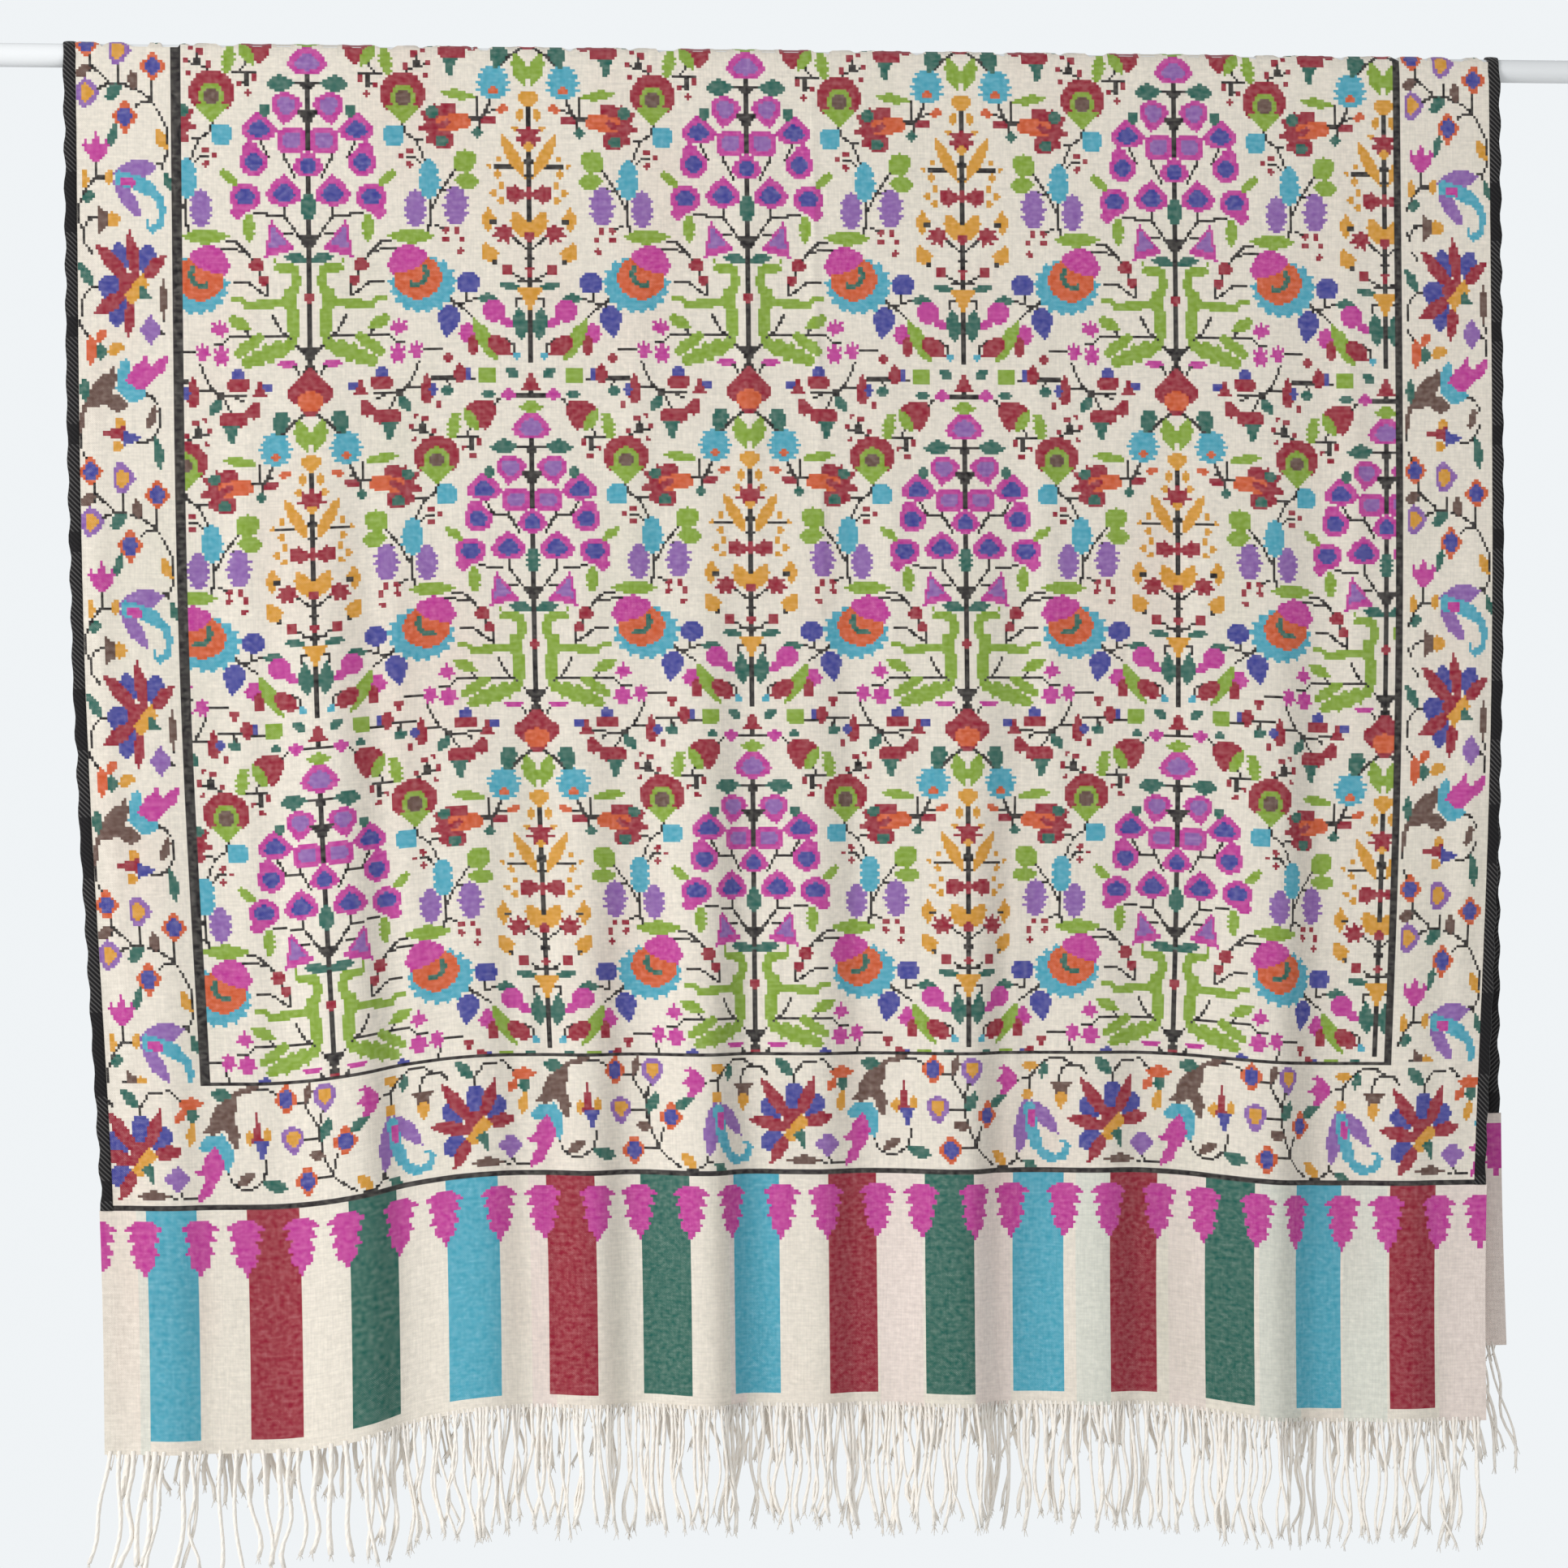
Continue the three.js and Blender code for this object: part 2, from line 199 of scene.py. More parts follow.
# motif, across, down, turn, long, wide, colour and, if it has one, the heart's colour
# in steps of the loom: 265 across from one tree to the next and 446 down a row
fieldMotifs = [
    ('drop', 0, 90, 0, 38, 46, 'magenta', 'violet'), ('cross', 0, 67, 0, 16, 30, 'lime'),
    ('tri', 0, 126, 180, 18, 20, 'black'), ('tri', 0, 162, 180, 22, 28, 'black'),
    ('drop', 0, 215, 0, 34, 34, 'magenta', 'navy'), ('jag', 0, 268, 0, 32, 22, 'green'),
    ('tri', 0, 314, 180, 22, 28, 'black'), ('leaf', 15, 330, 80, 30, 14, 'green'),
    ('star', 0, 379, 0, 16, 15, 'red'), ('tri', 0, 450, 180, 26, 24, 'black'), ('cross', 0, 492, 0, 58, 56, 'red'),
    ('disc', 0, 502, 0, 26, 32, 'orange'), ('drop', 26, 150, 172, 38, 36, 'magenta', 'violet'),
    ('drop', 58, 171, 0, 36, 42, 'magenta', 'navy'), ('jag', 51, 152, 0, 14, 16, 'green'),
    ('square', 19, 188, 4, 30, 34, 'magenta', 'violet'), ('disc', 68, 199, 0, 20, 20, 'magenta'),
    ('disc', 65, 214, 0, 34, 34, 'magenta', 'navy'), ('drop', 29, 248, 0, 38, 42, 'magenta', 'navy'),
    ('disc', 84, 273, 0, 18, 16, 'magenta'), ('disc', 75, 256, 0, 34, 38, 'magenta', 'navy'),
    ('tri', 40, 303, 14, 44, 38, 'magenta', 'violet'), ('leaf', 33, 119, 92, 34, 20, 'green'),
    ('jag', 94, 233, 50, 26, 14, 'lime'), ('jag', 71, 293, 180, 34, 18, 'lime'),
    ('jag', 49, 444, 112, 72, 26, 'lime'), ('jag', 72, 434, 125, 44, 18, 'lime'),
    ('leaf', 84, 407, 62, 32, 15, 'lime'), ('leaf', 27, 457, 88, 24, 9, 'magenta'),
    ('drop', 60, 78, 195, 40, 40, 'red'), ('leaf', 72, 84, 30, 36, 14, 'lime'), ('jag', 93, 90, 350, 36, 18, 'lime'),
    ('ring', 114, 131, 0, 54, 56, 'red'), ('disc', 114, 136, 0, 34, 30, 'lime', 'brown'),
    ('tri', 114, 157, 180, 24, 42, 'lime'), ('box', 131, 94, 0, 12, 10, 'black'),
    ('square', 103, 181, 0, 26, 24, 'teal'), ('star', 153, 168, 0, 52, 40, 'red'),
    ('square', 162, 186, 0, 20, 26, 'red'), ('square', 168, 152, 0, 20, 22, 'red'),
    ('disc', 150, 153, 0, 15, 15, 'green'), ('disc', 161, 188, 0, 15, 15, 'green'),
    ('square', 175, 165, 84, 40, 20, 'orange'), ('disc', 162, 168, 60, 22, 9, 'red'),
    ('leaf', 180, 131, 98, 44, 13, 'lime'), ('square', 174, 77, 0, 20, 32, 'red'),
    ('bell', 171, 96, 180, 22, 22, 'green'), ('jag', 223, 116, 0, 42, 46, 'teal'),
    ('disc', 223, 126, 0, 11, 11, 'orange'), ('drop', 229, 84, 190, 34, 20, 'green'),
    ('leaf', 255, 99, 165, 44, 18, 'lime'), ('leaf', 234, 148, 70, 18, 9, 'orange'),
    ('jag', 217, 162, 88, 20, 11, 'red'), ('cross', 204, 177, 0, 14, 14, 'green'),
    ('leaf', 188, 212, 55, 34, 28, 'lime'), ('leaf', 191, 236, 95, 32, 20, 'lime'),
    ('jag', 145, 235, 180, 48, 30, 'teal'), ('jag', 128, 270, 180, 46, 32, 'violet'),
    ('jag', 177, 267, 180, 48, 34, 'violet'), ('leaf', 123, 304, 90, 60, 18, 'lime'),
    ('disc', 62, 338, 0, 17, 18, 'red'), ('disc', 54, 356, 0, 13, 14, 'red'), ('burr', 136, 362, 0, 74, 84, 'teal'),
    ('disc', 118, 337, 300, 44, 46, 'magenta'), ('disc', 130, 354, 0, 54, 58, 'orange'),
    ('disc', 118, 333, 250, 50, 26, 'magenta'), ('arc', 127, 349, 130, 34, 34, 'green'),
    ('disc', 191, 361, 0, 26, 28, 'navy'), ('leaf', 215, 381, 95, 24, 14, 'green'),
    ('drop', 167, 409, 188, 40, 26, 'navy'), ('disc', 222, 395, 0, 26, 28, 'magenta'),
    ('jag', 190, 422, 200, 24, 24, 'magenta'), ('square', 196, 437, 0, 22, 14, 'red'),
    ('leaf', 210, 430, 152, 62, 18, 'lime'), ('leaf', 228, 438, 125, 36, 22, 'red'),
    ('leaf', 236, 408, 130, 22, 12, 'magenta'), ('disc', 248, 450, 0, 10, 9, 'teal'),
    ('star', 107, 414, 0, 22, 22, 'magenta'), ('star', 105, 447, 0, 26, 22, 'magenta'),
    ('star', 127, 443, 0, 25, 21, 'magenta'), ('tulip', 166, 451, 0, 18, 14, 'red'),
    ('disc', 85, 469, 0, 14, 17, 'navy'), ('square', 85, 481, 0, 16, 26, 'red'), ('box', 51, 484, 0, 9, 11, 'navy'),
    ('bell', 60, 487, 0, 18, 18, 'red'), ('drop', 140, 489, 0, 38, 15, 'red'), ('disc', 148, 491, 0, 16, 10, 'navy'),
    ('disc', 180, 472, 0, 24, 14, 'red'), ('disc', 190, 472, 0, 14, 9, 'navy'),
    ('square', 212, 474, 0, 20, 22, 'lime'), ('leaf', 165, 492, 95, 17, 14, 'green'),
    ('leaf', 113, 508, 140, 24, 13, 'green'), ('box', 107, 494, 0, 8, 8, 'black'),
    ('drop', 67, 511, 340, 24, 18, 'red'), ('drop', 265, 136, 180, 22, 26, 'ochre'),
    ('disc', 255, 155, 0, 16, 8, 'ochre'), ('disc', 249, 172, 0, 9, 8, 'ochre'),
    ('star', 265, 182, 0, 30, 34, 'red'), ('disc', 265, 194, 0, 11, 11, 'ochre'),
    ('leaf', 246, 206, 332, 62, 15, 'ochre'), ('drop', 265, 215, 180, 16, 12, 'black'),
    ('disc', 229, 209, 0, 9, 8, 'ochre'), ('disc', 218, 218, 0, 6, 7, 'ochre'),
    ('disc', 228, 228, 0, 10, 8, 'ochre'), ('disc', 232, 241, 0, 8, 8, 'ochre'),
    ('disc', 222, 251, 0, 9, 8, 'ochre'), ('disc', 231, 260, 0, 9, 8, 'ochre'), ('jag', 248, 252, 90, 22, 26, 'red'),
    ('disc', 265, 252, 0, 16, 10, 'red'), ('cross', 216, 284, 0, 30, 18, 'ochre'),
    ('disc', 221, 286, 0, 7, 8, 'black'), ('cross', 218, 326, 330, 32, 20, 'ochre'),
    ('disc', 224, 336, 0, 6, 7, 'black'), ('leaf', 254, 290, 330, 40, 20, 'ochre'),
    ('disc', 265, 304, 0, 13, 13, 'red'), ('star', 234, 301, 0, 26, 28, 'red'),
    ('tri', 265, 335, 180, 14, 14, 'black'), ('box', 238, 346, 0, 11, 12, 'red'),
    ('star', 265, 347, 0, 13, 12, 'red'), ('leaf', 241, 364, 98, 28, 9, 'green'),
    ('tri', 265, 382, 180, 30, 32, 'ochre'), ('leaf', 253, 411, 175, 44, 17, 'green'),
    ('leaf', 243, 471, 130, 20, 12, 'green'), ('bell', 265, 482, 0, 20, 26, 'red'),
    ('cross', 238, 498, 0, 16, 20, 'magenta'), ('leaf', 214, 497, 88, 17, 11, 'green'),
    ('jag', 203, 514, 90, 26, 16, 'red')]

# width, colour, then the corners of each twig
fieldTwigs = [
    (4.4, 'black', (0, 60, 0, 516)), (3, 'black', (0, 118, 18, 118)),
    (3.2, 'black', (16, 231, 27, 210, 46, 209, 58, 187), (27, 210, 28, 200), (46, 209, 60, 208),
     (11, 304, 29, 279, 29, 262), (29, 280, 64, 275)), (3, 'black', (20, 300, 35, 300)),
    (3.2, 'lime', (41, 330, 38, 338)), (11, 'lime', (36, 341, 18, 343, 14, 358, 20, 372)),
    (15, 'lime', (24, 372, 20, 398, 18, 420)), (11, 'lime', (24, 382, 62, 386, 74, 387)),
    (7, 'lime', (74, 387, 80, 380, 90, 378)),
    (3, 'black', (44, 397, 34, 418, 24, 425, 9, 442), (31, 423, 93, 423, 104, 433, 115, 434), (73, 420, 82, 410),
     (3, 458, 9, 474), (10, 474, 20, 457), (62, 107, 78, 106, 100, 104), (72, 94, 80, 106), (72, 108, 72, 124),
     (72, 117, 80, 119), (118, 104, 131, 95, 131, 84), (131, 98, 145, 95),
     (112, 158, 115, 177, 128, 187, 136, 200, 141, 213), (128, 187, 140, 185)),
    (4, 'black', (188, 160, 206, 160, 213, 152, 222, 130)), (3.4, 'black', (204, 158, 203, 136)),
    (3, 'black', (213, 152, 232, 149), (206, 160, 208, 176)), (4, 'black', (232, 96, 242, 84, 266, 66)),
    (4.4, 'black', (147, 255, 147, 292)),
    (3, 'black', (147, 272, 160, 247, 176, 224), (160, 247, 178, 245), (127, 208, 134, 216), (118, 208, 128, 208),
     (147, 288, 166, 297), (98, 309, 86, 310, 75, 321, 64, 334), (76, 321, 108, 317), (60, 345, 56, 352),
     (50, 360, 50, 376, 73, 358, 90, 357), (144, 292, 143, 298), (164, 375, 176, 387, 188, 385, 190, 373),
     (188, 383, 206, 381), (180, 389, 196, 402), (176, 386, 170, 394), (236, 430, 246, 437, 246, 446),
     (137, 442, 160, 442), (130, 456, 128, 464, 117, 485, 104, 496, 94, 516), (117, 487, 134, 487),
     (146, 477, 173, 477, 200, 480), (165, 480, 168, 488), (66, 492, 102, 496), (78, 502, 92, 494),
     (265, 140, 265, 460), (248, 243, 265, 258), (222, 219, 248, 219, 262, 232), (265, 322, 246, 306),
     (265, 362, 246, 350), (252, 358, 265, 358), (265, 380, 250, 380, 247, 392), (265, 488, 265, 499),
     (240, 499, 265, 499), (221, 512, 227, 502))]

fieldBerries = [
    (111, 63, 8), (127, 81, 9), (140, 77, 7), (145, 92, 8), (117, 98, 8), (141, 108, 7), (63, 112, 8), (82, 120, 7),
    (71, 131, 8), (121, 200, 8), (111, 207, 7), (121, 217, 8), (165, 297, 8), (178, 298, 8), (164, 308, 8),
    (184, 308, 8), (182, 322, 8)]

# the same columns, in steps of the end border: 1495 a repeat, from 0 at the field line to 515 at the dark line
borderMotifs = [
    ('tulip', 55, 115, 270, 112, 140, 'magenta'), ('leaf', 172, 53, 270, 76, 44, 'ochre'),
    ('leaf', 232, 72, 195, 76, 40, 'green'), ('leaf', 138, 322, 187, 250, 74, 'violet'),
    ('leaf', 240, 282, 140, 200, 66, 'violet'), ('disc', 162, 182, 0, 46, 50, 'ochre'),
    ('leaf', 174, 490, 120, 80, 40, 'green'), ('leaf', 30, 462, 132, 96, 48, 'ochre'),
    ('bell', 312, 160, 180, 76, 112, 'brown'), ('drop', 312, 208, 180, 80, 54, 'ochre'),
    ('drop', 545, 200, 180, 160, 84, 'navy'), ('disc', 446, 238, 120, 112, 96, 'navy'),
    ('disc', 628, 222, 55, 118, 96, 'navy'), ('disc', 446, 380, 60, 108, 90, 'navy'),
    ('disc', 540, 290, 0, 120, 90, 'red'), ('leaf', 464, 200, 325, 244, 62, 'red'),
    ('leaf', 604, 186, 22, 204, 60, 'red'), ('leaf', 655, 284, 80, 144, 62, 'red'),
    ('leaf', 438, 305, 282, 194, 62, 'red'), ('leaf', 480, 415, 213, 170, 56, 'red'),
    ('box', 555, 326, 40, 124, 54, 'ochre'), ('tri', 578, 378, 160, 86, 56, 'green'),
    ('leaf', 505, 54, 135, 118, 50, 'green'), ('leaf', 588, 466, 90, 150, 42, 'brown'),
    ('cross', 696, 395, 0, 108, 104, 'violet'), ('leaf', 768, 76, 90, 118, 54, 'orange'),
    ('leaf', 718, 130, 215, 84, 40, 'orange'), ('disc', 772, 128, 0, 60, 54, 'green'),
    ('leaf', 764, 206, 192, 106, 44, 'ochre'), ('leaf', 905, 40, 92, 96, 54, 'green'),
    ('leaf', 908, 130, 35, 210, 92, 'brown'), ('leaf', 950, 205, 170, 140, 56, 'brown'),
    ('leaf', 868, 186, 255, 100, 50, 'brown'), ('leaf', 852, 248, 250, 130, 70, 'teal'),
    ('leaf', 908, 290, 172, 170, 74, 'teal'), ('leaf', 856, 345, 190, 170, 92, 'magenta'),
    ('leaf', 826, 440, 215, 130, 50, 'magenta'), ('leaf', 810, 368, 270, 70, 30, 'magenta'),
    ('leaf', 1000, 398, 58, 100, 44, 'brown'), ('disc', 1022, 226, 0, 60, 42, 'ochre'),
    ('disc', 1100, 212, 0, 56, 40, 'ochre'), ('tri', 1056, 176, 0, 150, 54, 'red'),
    ('tri', 1072, 288, 180, 96, 66, 'navy'), ('leaf', 1124, 428, 104, 124, 56, 'green'),
    ('cross', 1190, 65, 0, 124, 104, 'orange', 'navy'), ('leaf', 1288, 48, 15, 94, 42, 'brown'),
    ('drop', 1365, 76, 180, 124, 104, 'violet', 'ochre'), ('drop', 1212, 246, 180, 124, 108, 'violet', 'ochre'),
    ('cross', 1270, 420, 0, 130, 104, 'orange', 'navy'), ('leaf', 1362, 208, 25, 104, 52, 'green'),
    ('leaf', 1318, 314, 285, 76, 54, 'brown'), ('cross', 1447, 270, 0, 126, 112, 'orange', 'navy'),
    ('leaf', 1510, 207, 62, 100, 46, 'green')]

borderTwigs = [
    (54, 'teal', (168, 240, 182, 330, 205, 400)), (42, 'teal', (205, 400, 236, 446, 280, 466)),
    (30, 'teal', (280, 466, 330, 452, 346, 410)), (14, 'teal', (346, 410, 336, 388, 316, 386)),
    (30, 'magenta', (178, 262, 184, 312)),
    (11, 'black', (110, 113, 168, 108, 166, 160), (168, 108, 205, 58, 255, 22, 325, 22, 355, 48),
     (305, 125, 310, 70, 345, 46, 400, 52, 428, 90), (118, 440, 120, 466, 75, 498, 0, 496, -65, 450, -110, 405),
     (120, 466, 160, 480), (546, 130, 550, 78, 590, 30, 680, 22, 720, 60), (640, 466, 690, 476),
     (698, 440, 714, 474, 775, 474)), (26, 'brown', (905, 118, 950, 50, 1000, 20, 1060, 15)),
    (11, 'black', (1060, 16, 1120, 25, 1150, 45),
     (920, 365, 935, 412, 975, 445, 1025, 446, 1070, 405, 1090, 358, 1084, 320), (1225, 84, 1290, 86),
     (1268, 90, 1330, 196, 1335, 256, 1350, 328, 1388, 412), (1350, 130, 1330, 196), (1265, 240, 1334, 242),
     (1320, 415, 1388, 412, 1396, 354, 1412, 326))]


def motifMask(kind, along, across):
    # along and across run from -1 to 1 over the motif
    away = np.hypot(along, across)
    inside = np.abs(along) <= 1
    rise = np.clip((along + 1) / 2, 0, 1)
    side = np.abs(across)
    if kind == 'disc':
        return away <= 1
    if kind == 'box':
        return inside & (side <= 1)
    if kind == 'square':
        return (np.abs(along) ** 4 + side ** 4) <= 1
    if kind == 'leaf':
        return inside & (side <= 1 - along ** 2)
    if kind == 'drop':
        return inside & (side <= 2.6 * np.sqrt(rise) * (1 - rise))
    if kind == 'tri':
        return inside & (side <= 1 - rise)
    if kind == 'bell':
        return inside & (side <= 1 - 0.75 * rise ** 0.7)
    if kind == 'jag':
        tooth = np.abs((along * 2.5) % 1 - 0.5) * 2
        return inside & (side <= np.sqrt(np.clip(1 - along ** 2, 0, 1)) * (0.62 + 0.38 * tooth))
    angle = np.arctan2(across, along)
    if kind == 'star':
        return away <= 0.8 + 0.2 * np.cos(7 * angle)
    if kind == 'burr':
        return away <= 0.93 + 0.07 * np.cos(17 * angle)
    if kind == 'cross':
        return away <= 0.87 + 0.13 * np.cos(4 * angle)
    if kind == 'ring':
        return (away <= 1) & (along > -0.72)
    if kind == 'arc':
        return (away <= 1) & (away > 0.62) & (along > 0.1)
    if kind == 'tulip':
        cup = (rise < 0.6) & (side <= np.sqrt(np.clip(rise / 0.55, 0, 1)))
        middle = (rise >= 0.5) & (side <= 0.42 * (1 - rise) / 0.5)
        tips = (rise >= 0.5) & (np.abs(side - 0.78) <= 0.22 * (0.8 - rise) / 0.3)
        return inside & (cup | middle | tips)
    raise ValueError(kind)


def paintMotif(chart, x, y, kind, across, down, turn, long, wide, colour, heart=''):
    # the motif's own two directions, turned and scaled, and a smaller copy of it in the heart's colour
    direction = np.radians(turn)
    dx, dy = x - across, y - down
    reach = max(long, wide) / 2
    if abs(dx).min() > reach or abs(dy).min() > reach:
        return
    along = (dx * np.sin(direction) - dy * np.cos(direction)) / (long / 2)
    side = (dx * np.cos(direction) + dy * np.sin(direction)) / (wide / 2)
    chart[motifMask(kind, along, side)] = palette.index(colour)
    if heart:
        shift = -0.12 if kind == 'drop' else 0
        chart[motifMask('disc' if kind == 'cross' else kind, (along - shift) / 0.6, side / 0.6)] = palette.index(heart)


def paintTwigs(chart, x, y, twigs):
    # every place nearer to the line through a twig's corners than half its width
    for width, colour, *lines in twigs:
        for corners in lines:
            for start in range(0, len(corners) - 2, 2):
                ax, ay, bx, by = corners[start:start + 4]
                length = (bx - ax) ** 2 + (by - ay) ** 2
                share = np.clip(((x - ax) * (bx - ax) + (y - ay) * (by - ay)) / length, 0, 1)
                away = np.hypot(x - ax - share * (bx - ax), y - ay - share * (by - ay))
                chart[away <= width / 2] = palette.index(colour)


fieldRepeat = {'half': 265, 'row': 446, 'top': 68}
borderRepeat = {'long': 1495, 'tall': 515, 'step': 4, 'overTwigs': 5}


def paintField():
    # one half tree wide and one row tall, at half a step; sign and shift give the mirrored trees and the rows beside
    half, row, top = fieldRepeat['half'], fieldRepeat['row'], fieldRepeat['top']
    x, y = np.meshgrid(np.arange(0.5, half), np.arange(top + 0.5, top + row))
    chart = np.zeros(x.shape, np.uint8)
    images = [(0, 1, 0), (0, -1, 0), (2 * half, -1, 0)]
    images += [(half, sign, down) for down in (-row, row) for sign in (1, -1)]
    places = [((x - shift) * sign, y - down) for shift, sign, down in images]
    for px, py in places:
        paintTwigs(chart, px, py, fieldTwigs)
    for px, py in places:
        for motif in fieldMotifs:
            paintMotif(chart, px, py, *motif)
        for across, down, size in fieldBerries:
            paintMotif(chart, px, py, 'disc', across, down, 0, size, size, 'red')
    return chart


def paintBorder():
    # one repeat of the vine: stems, then the motifs and the hooked leaves that lie over them
    long, over = borderRepeat['long'], borderRepeat['overTwigs']
    middle = borderRepeat['step'] / 2
    x, y = np.meshgrid(np.arange(middle, long, 2 * middle), np.arange(middle, borderRepeat['tall'], 2 * middle))
    chart = np.zeros(x.shape, np.uint8)
    for shift in (-long, 0, long):
        paintTwigs(chart, x - shift, y, borderTwigs[over:])
    for shift in (-long, 0, long):
        for motif in borderMotifs:
            paintMotif(chart, x - shift, y, *motif)
        paintTwigs(chart, x - shift, y, borderTwigs[:over])
    return chart


# where the pale ground of the end panel takes a faint tint: from, to, colour
tints = [(-476, -468, 'mist'), (-205, -188, 'blush'), (-60, -44, 'blush'), (52, 82, 'blush'), (118, 150, 'blush'),
         (196, 221, 'mist'), (264, 290, 'blush'), (328, 364, 'mist'), (396, 427, 'mist'), (466, 500, 'blush')]
stripes = {'first': -451.5, 'step': 69, 'wide': 35, 'count': 14, 'plain': 9, 'colours': ('teal', 'red', 'green'),
           'leafTop': 7, 'leafWide': 27, 'leafLong': 38}
fieldRows = (-956, -716, -476, -236, 4, 254, 487, 722, 960)
border = {'endPhase': 93, 'endRepeat': 230, 'sidePhase': 65.5, 'sideRepeat': 286.5, 'sideWide': 64.5, 'inset': 2,
          'lineInner': 421.5, 'lineOuter': 427, 'vineStart': -492, 'darkLine': 3.5, 'thinLine': 2.2,
          'fieldEnd': {'front': 697.5, 'back': 654}}


def look(chart, down, across):
    # the chart's own cell at a share of its height and of its width
    rows, columns = chart.shape
    down, across = (down * rows).astype(int), (across * columns).astype(int)
    return chart[np.clip(down, 0, rows - 1), np.clip(across, 0, columns - 1)]


def stripePart(across, below):
    # the end panel: coloured stripes from the dark line down, a pair of toothed leaves over the top of each
    out = np.zeros(across.shape, np.uint8)
    nearest = np.round((across - stripes['first']) / stripes['step'])
    index = np.clip(nearest, 0, stripes['count'] - 1).astype(int)
    offset = across - stripes['first'] - stripes['step'] * nearest
    codes = np.array([palette.index(name) for name in stripes['colours']])[index % 3]
    half = stripes['wide'] / 2
    on = (np.abs(offset) <= half) & (below < drape['endPanel'] - stripes['plain']) & (nearest == index)
    for start, end, name in tints:
        out[(across > start) & (across < end)] = palette.index(name)
    out[on] = codes[on]
    fallen = (below - stripes['leafTop']) / stripes['leafLong']
    # a holly leaf: four spikes on each side that grow outward and are cut back, narrower toward the point
    spike = 0.58 + 0.42 * ((fallen * 4.4 + 0.3) % 1)
    taper = np.minimum(0.55 + 3.5 * fallen, 1 - 0.35 * fallen) * np.minimum(1, (1 - fallen) / 0.3)
    for side in (-1, 1):
        centre = offset - side * (half + 1)
        halfLeaf = stripes['leafWide'] / 2 * spike * taper * np.where(centre * side > 0, 1.05, 0.95)
        out[(fallen > 0) & (fallen < 1) & (np.abs(centre) < halfLeaf)] = palette.index('magenta')
    return out


fieldChart, vineChart = paintField(), paintBorder()
print('charts drawn')


def weaveChart(name, across, along):
    # the colour number of every cell, from its middle in millimetres
    s, d = np.meshgrid(across, along)
    down, aside = np.abs(d), np.abs(s)
    fieldEnd, panel, step = border['fieldEnd'][name], drape[name] - drape['endPanel'], weave['treeStep']
    edges = np.array(fieldRows, float)
    row = np.clip(np.searchsorted(edges, d, side='right') - 1, 0, len(edges) - 2)
    share = (d - edges[row]) / (edges[row + 1] - edges[row])
    # trees stand 300 mm apart, half a step over in every second row, and each is its own mirror image
    phase = s - weave['tree'] - np.where(row % 2 == 0, 0, step)
    phase = np.abs((phase + step) % (2 * step) - step)
    chart = look(fieldChart, share, phase / step)
    fromLeft = np.where(s < 0, s - border['vineStart'], s - border['lineOuter'])
    sides = look(vineChart, fromLeft / border['sideWide'], (d - border['sidePhase']) / border['sideRepeat'] % 1)
    chart = np.where(aside > border['lineOuter'], sides, chart)
    chart[(aside >= border['lineInner']) & (aside <= border['lineOuter'])] = palette.index('black')
    fallen = (down - fieldEnd - border['inset']) / (panel - fieldEnd - 2 * border['inset'])
    ends = look(vineChart, fallen, (s + border['endPhase']) / border['endRepeat'] % 1)
    chart = np.where(down > fieldEnd, ends, chart)
    thin = (down > fieldEnd) & (down < fieldEnd + border['thinLine']) & (aside < border['lineOuter'])
    chart[thin] = palette.index('black')
    chart = np.where(down > panel, stripePart(s, down - panel), chart)
    chart[(down > panel - border['darkLine']) & (down <= panel)] = palette.index('black')
    chart[(aside > drape['clothHalf']) & (down < panel)] = void
    return chart.astype(np.uint8)


def splitAt(marks, step):
    # lines of the loom through every mark, about a step apart
    parts = [np.linspace(a, b, max(1, round((b - a) / step)), endpoint=False) for a, b in zip(marks[:-1], marks[1:])]
    return np.concatenate(parts + [np.array(marks[-1:], float)])


def acrossLines():
    # lines of the loom from edge to edge, a whole number of cells from the middle of a tree
    inside = weave['tree'] + weave['cell'] * np.arange(-330, 360)
    inside = inside[np.abs(inside) < drape['clothHalf'] - 0.6]
    outside = splitAt((drape['clothHalf'], drape['halfWidth']), weave['cellEdge'])
    return np.concatenate([-outside[::-1], inside, outside])


def chartNodes(chart, acrossEvery, alongEvery):
    # the corners of the coloured shapes, the points between them, and the lines along the shapes' edges
    padded = np.pad(chart, 1, constant_values=void)
    a, b, c, d = padded[:-1, :-1], padded[:-1, 1:], padded[1:, :-1], padded[1:, 1:]
    left, right, up, down = a != c, b != d, a != b, c != d
    onLine = left | right | up | down
    level, upright = left & right & ~up & ~down, up & down & ~left & ~right
    rows, columns = np.indices(onLine.shape)
    lattice = (rows % alongEvery == 0) & (columns % acrossEvery == 0)
    solid = (a != void) | (b != void) | (c != void) | (d != void)
    between = (level & (columns % acrossEvery == 0)) | (upright & (rows % alongEvery == 0))
    node = (onLine & ~level & ~upright) | (lattice & solid) | between
    return node, right, down


def lineEdges(node, right, down):
    index = np.full(node.shape, -1)
    index[node] = np.arange(node.sum())
    edges = []
    # along every row, then down every column: a node to the next one where the shape's edge goes on
    for numbers, marks, goes in ((index, node, right), (index.T, node.T, down.T)):
        lines, places = np.nonzero(marks)
        same = lines[:-1] == lines[1:]
        go = same & goes[lines[:-1], places[:-1]]
        edges.append(np.stack([numbers[lines[:-1][go], places[:-1][go]], numbers[lines[1:][go], places[1:][go]]], 1))
    return np.concatenate(edges), index


